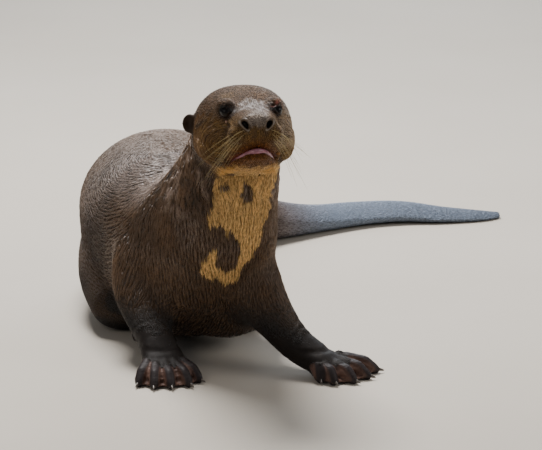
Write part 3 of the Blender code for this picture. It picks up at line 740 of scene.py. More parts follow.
def sculpt_mouth(points, outward):
    """The line between the lips pressed in along its arch, with a seat for the wet lower lip, the fur
    either side of it swelling a little, and the corners drawn in deeper."""
    x, b, u = points.T
    gap = u - mouth_height(x)
    here = (1 - smooth(np.abs(x), 34, 40)) * (1 - smooth(b, 52, 62)) * smooth(-u, 22, 30)
    seat = 3.2 * bell(gap + 4.2, 3.2) * (1 - smooth(np.abs(x - MOUTH_MIDDLE), 20, 31))
    groove = 3.6 * bell(gap, 2.0) + 1.0 * bell(np.abs(x) - 31, 5) * bell(gap, 4) + seat
    swell = 1.6 * bell(gap + 11, 3.6) + 1.1 * bell(gap - 5, 3.4)
    return points + outward * ((swell - groove) * here)[:, None]


def sculpt_face(points, outward):
    """Soft folds of the cheeks behind the whiskers, in rings about the mouth's corner, a furrow between
    muzzle and brow, and a dip in front of each cheek."""
    x, b, u = points.T
    ring = np.hypot(b - 40, u + 30)
    cheek = smooth(np.abs(x), 24, 34) * smooth(ring, 14, 22) * (1 - smooth(ring, 46, 60)) * (u < 8)
    fold = 0.45 * np.sin(ring / 7.5 * 2 * math.pi) * cheek
    furrow = -1.2 * bell(np.hypot((np.abs(x) - 20) / 7, (b - 36) / 6), 1) * (u > 0)
    dip = -2.4 * bell(np.hypot((np.abs(x) - 36) / 5, (u + 8) / 14), 1) * bell(b - 27, 9)
    return points + outward * (fold + furrow + dip)[:, None]


def sculpt_head(points, outward):
    """Every change of the head's skin, in the head's own frame."""
    local = to_head(points)
    out = outward @ HEAD[:3, :3]
    near = (local[:, 1] < 100) & (local[:, 1] > -12) & (np.abs(local[:, 0]) < 75) & (local[:, 2] > -75)
    some = sculpt_face(local[near], out[near])
    some = sculpt_mouth(some, out[near])
    local[near] = sculpt_eyes(sculpt_nose(some))
    return from_head(local)


def sculpt_wrists(points, outward):
    """Skin folds across each wrist, a few millimetres apart, fading up the forearm."""
    for line in WRISTS.values():
        at, on = np.array(line, float)
        way = unit(on - at)
        along = (points - at) @ way
        off = np.linalg.norm(points - at - along[:, None] * way, axis=1)
        here = smooth(along, -40, -12) * (1 - smooth(along, 10, 22)) * (1 - smooth(off, 36, 48))
        wave = np.sin(along / 12.5 * 2 * math.pi + 1.3 * ripples(points, 38, 8)) + 0.2 * ripples(points, 9, 9)
        points = points + outward * (0.24 * wave * here * smooth(points[:, 2], 12, 24))[:, None]
    return points


def digit_spots(points):
    """For each point near a paw: how far it is to the side of the nearest digit, how far along that digit,
    and how far out from the wrist, the last two as shares of a digit's length."""
    aside, share, reach = np.full(len(points), 99.0), np.zeros(len(points)), np.full(len(points), 99.0)
    for spec in PAWS.values():
        start = np.array(spec["wrist"], float)
        to = points[:, :2] - start
        tips = np.array(spec["tips"], float) - start
        reach = np.minimum(reach, np.linalg.norm(to, axis=1) / np.linalg.norm(tips, axis=1).mean())
        for run in tips:
            part = (to @ run) / (run @ run)
            off = np.abs(to[:, 0] * run[1] - to[:, 1] * run[0]) / np.linalg.norm(run)
            off = np.where((part > -0.05) & (part < 1.15), off, 99.0)
            closer = off < aside
            aside, share = np.where(closer, off, aside), np.where(closer, part, share)
    return aside, share, reach


def sculpt_paws(points, outward):
    """Digits that stand up from sunken webs and arch over their joints, a crease across the paw behind the
    knuckles, and soft folds over its back."""
    paw = smooth(follow(points)[1][:, ON_PAW], 0.2, 0.6)
    aside, share, reach = digit_spots(points)
    paw = np.maximum(paw, (1 - smooth(reach, 0.3, 0.5)) * (points[:, 2] < 42) * smooth(points[:, 2], 4, 12))
    top = smooth(outward[:, 2], -0.1, 0.4)
    out = smooth(reach, 0.38, 0.5)
    rise = -1.7 * smooth(aside, 5.5, 9.0) * out * (1 - smooth(share, 0.93, 1.0))
    rise -= 1.6 * bell(reach - 0.36, 0.06)
    knuckle = 1.7 * bell(reach - 0.52, 0.09) * bell(aside, 6.0)
    joint = 1.2 * bell(share - 0.70, 0.08) * bell(aside, 6.5)
    rise += knuckle - joint
    rise += 0.6 * bell(share - 0.84, 0.05) * bell(aside, 5.0)
    rise -= 0.35 * bell(share - 0.60, 0.02) * bell(aside, 7.0)
    wrinkles = 0.35 * np.sin(reach * 30 + 1.6 * ripples(points, 22, 31))
    rise += (wrinkles + 0.12 * ripples(points, 7, 32)) * (1 - out)
    rise += 0.12 * ripples(points, 2.6, 33)
    return points + outward * (rise * paw * top)[:, None]


# ---------- the skin
FACE_BOX = ((-50, -8, -64), (50, 64, 38))  # in the head's frame


def finer(obj):
    """The faces in the face's box and those of the forepaws, each divided in four."""
    points = places(obj.data)
    local = to_head(points)
    inside = ((local > FACE_BOX[0]) & (local < FACE_BOX[1])).all(axis=1)
    for paw in ("fore_right", "fore_left"):
        middle = np.mean(PAWS[paw]["tips"], axis=0)
        inside |= (np.hypot(*(points[:, :2] - middle).T) < PAW_REACH) & (points[:, 2] < 40)
    ends = np.empty(len(obj.data.edges) * 2, np.int32)
    obj.data.edges.foreach_get("vertices", ends)
    chosen = np.flatnonzero(inside[ends.reshape(-1, 2)].all(axis=1))
    shape = bmesh.new()
    shape.from_mesh(obj.data)
    shape.edges.ensure_lookup_table()
    edges = [shape.edges[i] for i in chosen.tolist()]
    bmesh.ops.subdivide_edges(shape, edges=edges, cuts=1, use_grid_fill=True)
    shape.to_mesh(obj.data)
    shape.free()


def build_skin():
    """One skin: trunk and legs fused and softened broadly, the head less so, the finer parts added, all
    fused again, carved, and thinned where it is broad."""
    trunk = [loft(SPINE, belly=TRUNK_FULLNESS), globe(BRISKET_AT, BRISKET_RADII)]
    trunk += [loft(line) for line in (*FORELEGS.values(), *HINDLEGS.values())]
    body = fused(joined("body", trunk), BODY_VOXEL, 26)
    skull = [head_loft(SKULL), head_loft(JAW)]
    for (x, b, u), radii in LUMPS:
        skull += [in_head(globe((side * x, b, u), radii)) for side in (-1, 1)]
    head = fused(joined("head_skin", skull), HEAD_VOXEL, 8)
    ends = [loft(TAIL), *(loft(line, sides=28) for line in HINDFEET.values())]
    for lines in DIGIT_LINES.values():
        ends += [digit(line) for line in lines] + [web(a, b) for a, b in zip(lines, lines[1:])]
    ends += [ear_flap(side) for side in (-1, 1)]
    rest = joined("rest", ends)
    shape = bmesh.new()
    for part in (body, head, rest):
        shape.from_mesh(part.data)
        bpy.data.objects.remove(part)
    mesh = bpy.data.meshes.new("skin")
    shape.to_mesh(mesh)
    shape.free()
    skin = fused(add_object("skin", mesh), SKIN_VOXEL, 6)
    finer(skin)
    sculpt(skin)
    thin(skin)
    set_places(skin.data, within_box(places(skin.data), 0.02))
    return skin


def sculpt(skin):
    """The skin drawn in by the coat's depth, carved, and pressed flat where it rests on the floor."""
    points, normals = places(skin.data), normals_of(skin.data)
    _, share, _ = follow(points)
    points = points - normals * (share @ np.array(COAT_DEPTH))[:, None]
    set_places(skin.data, points)
    normals = normals_of(skin.data)
    points = sculpt_head(points, normals)
    points = sculpt_wrists(points, normals)
    points = sculpt_paws(points, normals)
    points[:, 2] = np.maximum(points[:, 2], 0.0)
    set_places(skin.data, points)


def thin(skin):
    """Fewer faces where the form is broad, and most of them kept on the face and the paws."""
    points = places(skin.data)
    _, share, _ = follow(points)
    x, b, u = to_head(points).T
    face = (1 - smooth(b, 50, 90)) * share[:, ON_HEAD]
    broad = np.clip(1.0 - 0.97 * face - 0.85 * share[:, ON_PAW], 0.02, 1.0)
    group = skin.vertex_groups.new(name="broad")
    for level in np.linspace(0.02, 1.0, 8):
        chosen = np.flatnonzero(np.abs(broad - level) <= 0.0701)  # half the step between levels, and a hair
        group.add(chosen.tolist(), float(level), "REPLACE")
    cut = skin.modifiers.new("thin", "DECIMATE")
    faces = sum(len(p.vertices) - 2 for p in skin.data.polygons)
    cut.ratio = min(1.0, SKIN_TRIANGLES / faces)
    cut.vertex_group = group.name
    cut.vertex_group_factor = 1.0
    settled(skin)
    skin.vertex_groups.clear()
    skin.data.shade_smooth()


# ---------- the coat
# Length and width of a lock by the kind of place. On the head it grows from the face to the nape, and on the
# legs it shortens towards the wrist.
LOCK = {"trunk": (10.0, 1.7), "tail": (7.0, 1.4), "leg": (8.5, 1.5), "paw": (2.4, 0.8)}
FACE_LOCK, NAPE_LOCK, WRIST_LOCK, THROAT_LOCK = (3.2, 0.75), (8.0, 1.5), (3.0, 0.9), (8.5, 1.15)


def blend(sizes, other, share):
    """The sizes moved towards another by a share."""
    return sizes + (np.array(other) - sizes) * share[:, None]


def ear_share(points):
    """1 on the ears, fading 14 to 19 mm from their middles."""
    local = to_head(points)
    away = [np.linalg.norm(local - (side * EAR_AT[side][0], *EAR_AT[side][1:]), axis=1) for side in (-1, 1)]
    return 1 - smooth(np.min(away, axis=0), 14, 19)


def lock_sizes(points, share):
    """Length and width of the locks at each point, blended by how far it belongs to each kind of place."""
    x, b, u = to_head(points).T
    back = smooth(b, 15, 130)[:, None]
    head = np.array(FACE_LOCK) * (1 - back) + np.array(NAPE_LOCK) * back
    sizes = share[:, :1] * head
    for column, kind in enumerate(KINDS[1:], 1):
        sizes = sizes + share[:, column, None] * np.array(LOCK[kind])
    throat = smooth(-u, 44, 60) * smooth(b, 10, 30)
    throat = throat * (1 - smooth(points[:, 1], 110, 150)) * smooth(points[:, 2], 90, 130)
    sizes = blend(sizes, THROAT_LOCK, throat)
    return blend(sizes, WRIST_LOCK, share[:, ON_LEG] * (1 - smooth(points[:, 2], 45, 110)))


def pale_spot_share(local):
    """A small pale pink spot under the right eye's inner corner, from 0 to 1."""
    spot = (-EYE_AT[0] - 3.3, EYE_AT[1] - 8.0, EYE_AT[2] - 12.0)
    return 1 - smooth(np.linalg.norm(local - spot, axis=1), 1.6, 2.8)


def triangles_of(mesh):
    """The vertices of the mesh's triangles."""
    mesh.calc_loop_triangles()
    found = np.empty(len(mesh.loop_triangles) * 3, np.int32)
    mesh.loop_triangles.foreach_get("vertices", found)
    return found.reshape(-1, 3)


def bald(points, share):
    """1 where no locks grow: digits, soles, ears, wrists, the lips, the nostrils and the eyes."""
    local = to_head(points)
    x, b, u = local.T
    on_head = share[:, ON_HEAD] > 0.5
    none = smooth(share[:, ON_PAW], 0.1, 0.3)
    none = np.maximum(none, points[:, 2] < 1.5)
    none = np.maximum(none, ear_share(points) > 0.6)
    low = 1 - smooth(points[:, 2] + 4 * ripples(points, 20, 17), 50, 66)
    none = np.maximum(none, share[:, ON_LEG] * (points[:, 1] < 200) * low)
    none = np.maximum(none, pale_spot_share(local) > 0.3)
    lips = (np.abs(u - mouth_height(x) + 1.5) < 3.0) * (np.abs(x) < 34) * (b < 56)
    none = np.maximum(none, on_head * lips)
    for side in (-1, 1):
        out, _, _ = eye_opening(local, side)
        near = np.linalg.norm(local - eye_middle(side), axis=1) < 12
        none = np.maximum(none, on_head * near * (out < 1.6))
        none = np.maximum(none, on_head * (nostril_reach(local, side) < 1.6) * (b < 16))
    return none


def grow_roots(skin):
    """Roots of the locks and the skin's normals there, spread over its triangles by area and by how small
    the locks are, thinner where the skin faces the floor."""
    mesh = skin.data
    points, normals, tris = places(mesh), normals_of(mesh), triangles_of(mesh)
    _, share, _ = follow(points)
    sizes = lock_sizes(points, share)
    hidden = 0.55 * smooth(-normals[:, 2], 0.4, 0.8) * (points[:, 2] < 60)
    density = COVERAGE / sizes.prod(axis=1) * (1 - bald(points, share)) * (1 - hidden)
    a, b, c = (points[tris[:, i]] for i in range(3))
    area = np.linalg.norm(np.cross(b - a, c - a), axis=1) / 2
    crowd = np.concatenate([[0], np.cumsum(area * density[tris].mean(axis=1))])
    count = int(crowd[-1])
    pick = (np.arange(count) + rng.uniform(0, 1, count)) / count * crowd[-1]
    face = np.clip(np.searchsorted(crowd, pick, side="right") - 1, 0, len(tris) - 1)
    r1, r2 = np.sqrt(rng.uniform(0, 1, (count, 1))), rng.uniform(0, 1, (count, 1))
    weights = np.hstack([1 - r1, r1 * (1 - r2), r1 * r2])
    corners = tris[face]
    at = (points[corners] * weights[..., None]).sum(axis=1)
    return at, unit((normals[corners] * weights[..., None]).sum(axis=1))


# A wet coat falls into fine ridges, as if combed: down the front of the body, in rings over the hump, and in
# arcs round each cheek. Each list has a value for the places that aren't combed, then one for each area.
FRONT, NECK, HUMP, CHEEK = 1, 2, 3, 4
COMB_SPACING = {"front": 3.9, "neck": 5.6, "hump": 4.8, "cheek": 3.6}  # between ridges, mm
COMB_SHARE = np.array([0, 0.74, 0.74, 0.86, 0.74])  # of the locks join a ridge
COMB_BEND = np.array([0, 1.1, 1.6, 0.5, 0.5])  # how far ripples bend the ridges, as an angle of their wave
COMB_TALL = np.array([0, 0.30, 0.45, 0.16, 0.30])  # how much higher joined locks stand, in their widths
COMB_UNEVEN = np.array([1.0, 0.5, 0.8, 0.25, 0.8])  # how far the locks' lift varies
FRONT_AXIS, FRONT_RADIUS, NECK_RADIUS = (-20.0, 200.0), 105.0, 62.0
HUMP_MIDDLE, CHEEK_MIDDLE = (-115, 281, 251), (38, -28)


def comb_areas(points, share):
    """Which area's combing each point takes, or 0 for none; ripples blur the edges between them."""
    x, b, u = to_head(points).T
    y, z = points[:, 1], points[:, 2]
    ring = np.hypot(b - CHEEK_MIDDLE[0], u - CHEEK_MIDDLE[1])
    blur = 9 * ripples(points, 18, 44)
    body = share[:, ON_TRUNK] + share[:, ON_LEG] > 0.5
    area = np.where(body & (y < 220) & (z > 96 + blur), FRONT, 0)
    area = np.where((area == FRONT) & (z > 238 + blur), NECK, area)
    behind = y > np.where(points[:, 0] < -70, 160, 222) + 0.5 * blur
    area = np.where(behind & (points[:, 0] < 60) & body & (z > 30), HUMP, area)
    cheek = (share[:, ON_HEAD] > 0.5) & (np.abs(x) > 31 + 0.5 * blur) & (b > 20) & (u < 8 + 1.3 * blur)
    return np.where(cheek & (ring > 9) & (ring < 78 + 0.4 * blur), CHEEK, area)


def comb_phase(points, area):
    """How far through the comb's wave each point is: its place across the ridges over their spacing, as an
    angle, bent by ripples. Across means round an upright axis in front, and away from the middle on the
    hump and the cheeks."""
    x, b, u = to_head(points).T
    turn = np.arctan2(points[:, 1] - FRONT_AXIS[1], points[:, 0] - FRONT_AXIS[0])
    ring = np.hypot(b - CHEEK_MIDDLE[0], u - CHEEK_MIDDLE[1])
    hump = np.linalg.norm(points - HUMP_MIDDLE, axis=1)
    across = [0 * turn,
              turn * FRONT_RADIUS / COMB_SPACING["front"],
              turn * NECK_RADIUS / COMB_SPACING["neck"],
              hump / COMB_SPACING["hump"],
              ring / COMB_SPACING["cheek"]]
    return 2 * math.pi * np.choose(area, across) + COMB_BEND[area] * ripples(points, 30, 41)


def comb(at, normal, area):
    """Each point's slide onto its nearest ridge, and the ridge's direction: the slide goes against the
    wave's gradient along the skin by the sine of its angle, and the ridge runs square to that gradient."""
    phase, small = comb_phase(at, area), 0.2
    slope = np.column_stack([comb_phase(at + step, area) - phase for step in small * np.eye(3)]) / small
    slope -= (slope * normal).sum(axis=1, keepdims=True) * normal
    steep = np.linalg.norm(slope, axis=1)[:, None]
    downhill = -slope / np.maximum(steep, 1e-3)
    slide = downhill * np.clip(np.sin(phase)[:, None] / np.maximum(steep, 0.4), -1.3, 1.3)
    return slide, np.cross(normal, slope / np.maximum(steep, 1e-3))


def lie_of_coat(at, normal, flow, share, local):
    """The way each lock lies: along the flow, hanging under the jaw, turned by slow ripples that gather
    neighbours into wet clumps."""
    along = tangent(flow, normal)
    hang = (share[:, ON_HEAD] * smooth(-local[:, 2], 46, 58) * smooth(local[:, 1], 12, 30))[:, None]
    along = tangent(unit(along * (1 - 0.85 * hang) + 0.85 * hang * (0.05, 0.2, -1)), normal)
    across = np.cross(normal, along)
    angle = 0.06 * rng.normal(size=len(at)) + 0.16 * ripples(at, 34, 21) + 0.07 * ripples(at, 11, 22)
    return along * np.cos(angle)[:, None] + across * np.sin(angle)[:, None]


def lock_shapes(at, along, normal, share, area, on_ridge):
    """The locks' seven points each, three at the root, three at the middle and the tip, and their middles.
    A lock rises to its middle by its lift and sinks again by the square of its length; those on a ridge
    are longer, narrower and taller, and the rest of a combed area stays low between them."""
    across = np.cross(normal, along)
    size = lock_sizes(at, share) * rng.uniform(0.75, 1.25, (len(at), 1))
    length, width = size[:, :1] * np.where(on_ridge, 1.6, 1.0), size[:, 1:] * np.where(on_ridge, 0.78, 1.0)
    low = ((area > 0)[:, None] & ~on_ridge) * 0.6
    uneven = 1 + 0.45 * COMB_UNEVEN[area][:, None] * rng.uniform(-1, 1, (len(at), 1))
    lift = (0.45 + 0.5 * share[:, [ON_TRUNK]]) * uneven * (length / 8) * (1 - low)
    lift *= (1 - 0.4 * on_ridge) * (1 - 0.55 * share[:, [ON_TAIL]])
    root = at - 0.35 * normal
    middle = at + along * length * 0.5 + normal * lift * 0.8
    tip = at + along * length + normal * (lift * 0.8 - length**2 * 0.004)
    ridge = (0.34 + COMB_TALL[area][:, None] * on_ridge - 0.3 * low) * width * normal
    half = 0.5 * width * across
    locks = np.stack([root - half * 0.7, root + ridge * 0.6, root + half * 0.7,
                      middle - half, middle + ridge, middle + half, tip], axis=1)
    return locks, middle


def lock_shine(at, local, share, area, on_ridge):
    """How bright and how glossy each lock is, from 0 to 1: by chance, more on the ridges, even on the
    tail, less in the dip before each cheek, down the legs, over the shoulder, on the lower flank and at
    the tail's end, more on the left cheek, and in patches on the neck. Much of the brightness is painted
    light: a highlight on the ridges with shade between them, shade in the dip, at the back of the neck,
    on the lower flank and, in part, down the legs, a dimmer painted sheen at the tail's end, and sunlight
    on the left cheek."""
    x, b, u = local.T
    y, z = at[:, 1], at[:, 2]
    # Ridges brighter and the combed locks between them darker: a painted highlight and painted shade.
    shine = rng.uniform(0, 1, len(at)) * np.where(area > 0, 0.3, 1.0) + 0.68 * on_ridge[:, 0]
    shine += (0.75 + 0.2 * shine - shine) * share[:, ON_TAIL]
    # The tail's end dimmer, toning down its painted sheen.
    shine *= 1 - 0.3 * share[:, ON_TAIL] * smooth(at[:, 0], 190, 350)
    # Painted shade in the dip before each cheek.
    dip = bell(np.hypot((np.abs(x) - 36) / 5, (u + 8) / 15), 1) * bell(b - 27, 9)
    shine *= 1 - 0.6 * dip * share[:, ON_HEAD]
    # Dimmer and duller down the legs, partly painted shade.
    shine *= 1 - 0.7 * (share[:, ON_LEG] * (1 - smooth(z, 60, 135)))
    # Painted sunlight on the left cheek.
    shine += 0.4 * share[:, ON_HEAD] * smooth(x, 28, 42) * smooth(u, -44, -28) * (b < 90)
    shine *= 1 - 0.34 * share[:, ON_TRUNK] * smooth(y, 170, 230)
    # Painted shade on the lower right flank.
    shine *= 1 - 0.4 * smooth(-at[:, 0], 150, 205) * smooth(y, 200, 240) * (1 - smooth(z, 225, 250))
    # Painted shade between the hump's ridges.
    shine -= 0.3 * (area == HUMP) * ~on_ridge[:, 0] * smooth(z, 190, 230)
    # Painted shade at the back of the neck, where it meets the hump.
    shine *= 1 - 0.5 * smooth(y, 95, 140) * (1 - smooth(y, 155, 165)) * smooth(z, 150, 210)
    return np.clip(shine + 0.3 * (area == NECK) * ripples(at * (1, 1, 0.35), 15, 23), 0.02, 1)


def coat_locks(skin):
    """Every lock of the coat. Where it is combed most locks move onto the ridges and lie along them."""
    at, normal = grow_roots(skin)
    flow, share, nearest = follow(at)
    local = to_head(at)
    along = lie_of_coat(at, normal, flow, share, local)
    area = comb_areas(at, share)
    slide, ridge_way = comb(at, normal, area)
    ridge_way *= np.where((ridge_way * along).sum(axis=1) < 0, -1, 1)[:, None]
    on_ridge = ((area > 0) & (rng.uniform(0, 1, len(at)) < COMB_SHARE[area]))[:, None]
    at = np.where(on_ridge, at + slide, at)
    along = np.where(on_ridge, unit(ridge_way + 0.035 * rng.normal(size=(len(at), 3))), along)
    along = tangent(along, normal)
    locks, middle = lock_shapes(at, along, normal, share, area, on_ridge)
    shine = lock_shine(at, local, share, area, on_ridge)
    return within_box(locks, 0.05), at, middle, normal, share, nearest, shine


def within_box(points, margin):
    """Points moved to lie inside the frame's own box, at least a margin from its sides."""
    low, high = (np.array(corner) / MM - PLACE for corner in CAD_BOX)
    return np.clip(points, low + margin, high - margin)


LOCK_FACES = np.array([(0, 1, 4), (0, 4, 3), (1, 2, 5), (1, 5, 4), (2, 0, 3), (2, 3, 5), (3, 4, 6), (4, 5, 6),
                       (5, 3, 6), (2, 1, 0)])
PATCH = 0.003  # a lock's own width on the bake map
LOCK_PATCH = PATCH * np.array(
    [(-0.5, -0.5), (0, -0.5), (0.5, -0.5), (-0.3, 0.1), (0, 0.1), (0.3, 0.1), (0, 0.5)])


def unwrap(points, nearest):
    """A place on the unit square for each point: every bone has a strip as wide as its length and as tall
    as its girth, packed side by side in rows, and a point goes along its strip by its distance along the
    bone and up it by its angle round the bone."""
    lengths = np.array([b["run"][-1] for b in BONES])
    girths = np.array([2 * math.pi * b["radius"].mean() for b in BONES])
    owner = np.concatenate([np.full(len(b["at"]), i) for i, b in enumerate(BONES)])
    run = np.concatenate([b["run"] for b in BONES])
    place = strip_places(lengths, girths)
    own = owner[nearest]
    side = unit(np.cross(STEP_AHEAD[nearest], (0.0, 0.0, 1.0)))
    above = np.cross(side, STEP_AHEAD[nearest])
    to = points - STEP_AT[nearest]
    turn = np.arctan2((to * above).sum(axis=1), (to * side).sum(axis=1)) / (2 * math.pi) + 0.5
    step = (to * STEP_AHEAD[nearest]).sum(axis=1)
    u = np.clip((run[nearest] + step) / lengths[own], 0, 1)
    return place[own, :2] + np.column_stack([u, turn]) * place[own, 2:]


def strip_places(lengths, girths):
    """Left, bottom, width and height of each bone's strip: shelves filled from the tallest strip down, the
    whole then fitted to the unit square."""
    order = np.argsort(-girths)
    limit = 1.05 * math.sqrt((lengths * girths).sum())
    place = np.zeros((len(lengths), 4))
    x = y = shelf = 0.0
    for i in order:
        if x + lengths[i] > limit:
            x, y, shelf = 0.0, y + shelf, 0.0
        place[i] = x, y, lengths[i], girths[i]
        x, shelf = x + lengths[i], max(shelf, girths[i])
    return place / max(limit, y + shelf)


def coat_piece(name, locks, spots, values):
    """One mesh of many locks, with its bake map, a small patch for each lock, and its markings."""
    count = len(locks)
    mesh = bpy.data.meshes.new(name)
    faces = (LOCK_FACES[None] + 7 * np.arange(count)[:, None, None]).reshape(-1, 3)
    mesh.vertices.add(count * 7)
    mesh.vertices.foreach_set("co", ((locks.reshape(-1, 3) + PLACE) * MM).ravel())
    mesh.loops.add(faces.size)
    mesh.loops.foreach_set("vertex_index", faces.ravel().astype(np.int32))
    mesh.polygons.add(len(faces))
    mesh.polygons.foreach_set("loop_start", np.arange(0, faces.size, 3, dtype=np.int32))
    mesh.update(calc_edges=True)
    mesh.shade_smooth()
    patch = (spots[:, None] * (1 - 2 * PATCH) + PATCH + LOCK_PATCH[None]).reshape(-1, 2)
    layer = mesh.uv_layers.new(name="OFBake")
    layer.data.foreach_set("uv", patch[faces.ravel()].astype(np.float32).ravel())
    for label, value in values.items():
        give(mesh, label, np.repeat(value, 7))
    give(mesh, "along", np.tile((0, 0, 0, 0.5, 0.5, 0.5, 1.0), count))
    return add_object(name, mesh)


def build_coat(skin, material):
    """The whole coat in pieces, each of neighbouring locks along the body. Dull locks of the hump show
    less of its painted sheen, bright ones on the neck are streaked with painted sheen, and the bib's locks
    are more alike."""
    locks, at, middle, normal, share, nearest, shine = coat_locks(skin)
    height = middle[:, 2]
    values = markings(middle, normal, share)
    values["painted_hump_sheen"] *= np.where(shine < 0.4, 0.5, 1.0)
    # Painted sheen in streaks over the neck's brightest locks.
    sheen_streaks = smooth(shine, 0.72, 0.9) * smooth(ripples(middle, 70, 19), -0.6, 0.7) * smooth(height, 120, 180)
    values["painted_hump_sheen"] = np.maximum(values["painted_hump_sheen"], 0.4 * sheen_streaks * share[:, ON_TRUNK] * (middle[:, 1] < 160))
    values["shine"] = shine + (0.55 - shine) * 0.65 * values["bib"]
    values["shine"] += 0.12 * values["bib"] * (1 - smooth(height, 170, 230))
    spots = unwrap(at, nearest)
    order = np.argsort(nearest, kind="stable")
    for number, start in enumerate(range(0, len(order), LOCKS_PER_PIECE), 1):
        some = order[start : start + LOCKS_PER_PIECE]
        theirs = {name: value[some] for name, value in values.items()}
        piece = coat_piece(f"coat_{number}", locks[some], spots[some], theirs)
        piece.data.materials.append(material)
        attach(piece, "root")


# ---------- small pieces
def smooth_piece(name, shape, material):
    """A smooth-shaded object of one closed shape or several, in its material."""
    piece = joined(name, shape)
    piece.data.shade_smooth()
    piece.data.materials.append(material)
    return piece


def build_eye(side, material):
    """A ball whose front swells into the cornea: the radius plus half a millimetre times a bell of the angle
    from the gaze."""
    gaze, along, across = lid_axes(side)
    points, faces = globe((0, 0, 0), (1, 1, 1), 48)
    points = points[:, 2:] * gaze + points[:, :1] * along + points[:, 1:2] * across
    polar = np.arccos(np.clip(points @ gaze, -1, 1))
    points = points * (EYE_RADIUS + 0.55 * bell(polar, 0.55))[:, None]
    name = "eye_left" if side > 0 else "eye_right"
    points = from_head(points + eye_middle(side))
    piece = smooth_piece(f"eyeball_{name[4:]}", [(points, faces)], material)
    give(piece.data, "polar", polar)
    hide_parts(name)
    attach(piece, "root")


def build_claw(paw, label, line, material):
    """A horn that curves down: an oval ring narrowed along a quarter bend to a blunt tip."""
    tip, joint = line[-1], line[-2]
    forwards = unit((tip - joint) * (1, 1, 0))
    centre = tip + forwards * CLAW_REACH + (0, 0, CLAW_RAISE)
    down = np.array((0, 0, -1.0))
    side = np.cross(forwards, down)
    t = np.linspace(0, 1, 9)[:, None]
    bend = 0.7 * t
    middle = centre + forwards * (t - 0.5) * CLAW_LENGTH * 0.95 + down * (0.4 + 3.2 * bend**1.5 - 1.0)
    turn = np.linspace(0, 2 * math.pi, 12, endpoint=False)[None]
    radius = CLAW_RADIUS * (1 - t**1.6) ** 0.7 + 0.25
    ring = np.cos(turn)[..., None] * side * 0.75 + np.sin(turn)[..., None] * -down * 1.05
    rings = middle[:, None] + ring * radius[..., None]
    rings[..., 2] = np.maximum(rings[..., 2], 0.1)
    piece = smooth_piece(f"horn_{paw}_{label}", [closed_tube(rings)], material)
    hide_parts(f"claw_{paw}_{label}")
    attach(piece, "root")


def build_lips(material):
    """The lower lip's wet edge: a tube along the arch of the mouth, thickest in the middle and thinner at
    the corners."""
    x = np.linspace(-31, 31, 41) + MOUTH_MIDDLE
    u = mouth_height(x) - 3.9
    b = 14.0 + 0.034 * x**2 + 0.2 * np.abs(x)
    line = np.column_stack([x, b + 1.2, u])
    turn = np.linspace(0, 2 * math.pi, 14, endpoint=False)[None]
    thick = 3.6 * np.clip(1 - ((x - MOUTH_MIDDLE) / 31.5) ** 2, 0, 1) ** 0.6
    thick = (thick * (1 - 0.55 * smooth(x, 14, 30)) * (1 - 0.3 * smooth(-x, 4, 24)))[:, None]
    ahead = unit(np.gradient(line, axis=0))
    above = unit(np.cross(ahead, (0, -1.0, 0)))
    out = np.cross(above, ahead)
    rings = line[:, None] + (np.cos(turn) * thick)[..., None] * above[:, None]
    rings = rings + (np.sin(turn) * thick * 0.9)[..., None] * out[:, None]
    points, faces = closed_tube(rings)
    piece = smooth_piece("lower_lip", [(from_head(points), faces)], material)
    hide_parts("lip_and_tongue")
    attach(piece, "root")


def hair_tubes(roots, ways, lengths, droops, thick):
    """Tapering hairs: each a curve that leaves its root along its way and sinks as the square of its length,
    with a round section of five sides."""
    t = np.linspace(0, 1, 7)[None, :, None]
    line = roots[:, None] + ways[:, None] * t * lengths[:, None, None]
    line = within_box(line + np.array((0, 0, -1.0)) * (t**2) * droops[:, None, None], 0.4)
    ahead = unit(np.gradient(line, axis=1))
    side = unit(np.cross(ahead, (0.13, 0.2, 1.0)))
    above = np.cross(side, ahead)
    turn = np.linspace(0, 2 * math.pi, 5, endpoint=False)
    radius = thick * (1 - 0.8 * t[..., None])
    ring = np.cos(turn)[:, None] * side[:, :, None] + np.sin(turn)[:, None] * above[:, :, None]
    return [closed_tube(one) for one in line[:, :, None] + ring * radius]


PAD_ROWS, PAD_STEPS, BROW_HAIRS, HAIR_THICK = 4, 4, 3, 0.3
PAD_FIRST, PAD_STEP, PAD_ROW = (19.0, 4.0, -12.0), (4.6, 3.4, -1.4), (0.8, 1.2, -5.2)


def build_whiskers(material):
    """Stiff straw-coloured bristles in rows on the pads, sweeping out, down and back, with a few swept back
    over each eye."""
    roots, ways, lengths, droops = [], [], [], []
    for side in (-1, 1):
        for row in range(PAD_ROWS):
            for step in range(PAD_STEPS):
                x, b, u = np.array(PAD_FIRST) + np.array(PAD_STEP) * step + np.array(PAD_ROW) * row
                x, b, u = np.array((x, b, u)) + rng.uniform(-1.2, 1.2, 3)
                roots.append((side * x, b, u))
                spread = rng.uniform(-0.18, 0.18, 2)
                ways.append((side * (0.75 + spread[0]), 0.10 + 0.22 * step, -0.40 - 0.20 * row + spread[1]))
                lengths.append(rng.uniform(30, 50) + 7 * step)
                droops.append(rng.uniform(3, 14))
        for step in range(BROW_HAIRS):
            roots.append((side * (27 + 4 * step), 47 + 3 * step, 24 - 1.5 * step))
            ways.append((side * 0.45, 0.75 + 0.1 * step, 0.35 + rng.uniform(-0.1, 0.1)))
            lengths.append(rng.uniform(14, 24))
            droops.append(rng.uniform(2, 5))
    roots = from_head(np.array(roots, float))
    ways = unit(np.array(ways, float)) @ HEAD[:3, :3].T
    hairs = hair_tubes(roots, ways, np.array(lengths), np.array(droops), HAIR_THICK)
    piece = smooth_piece("whiskers", hairs, material)
    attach(piece, "root")


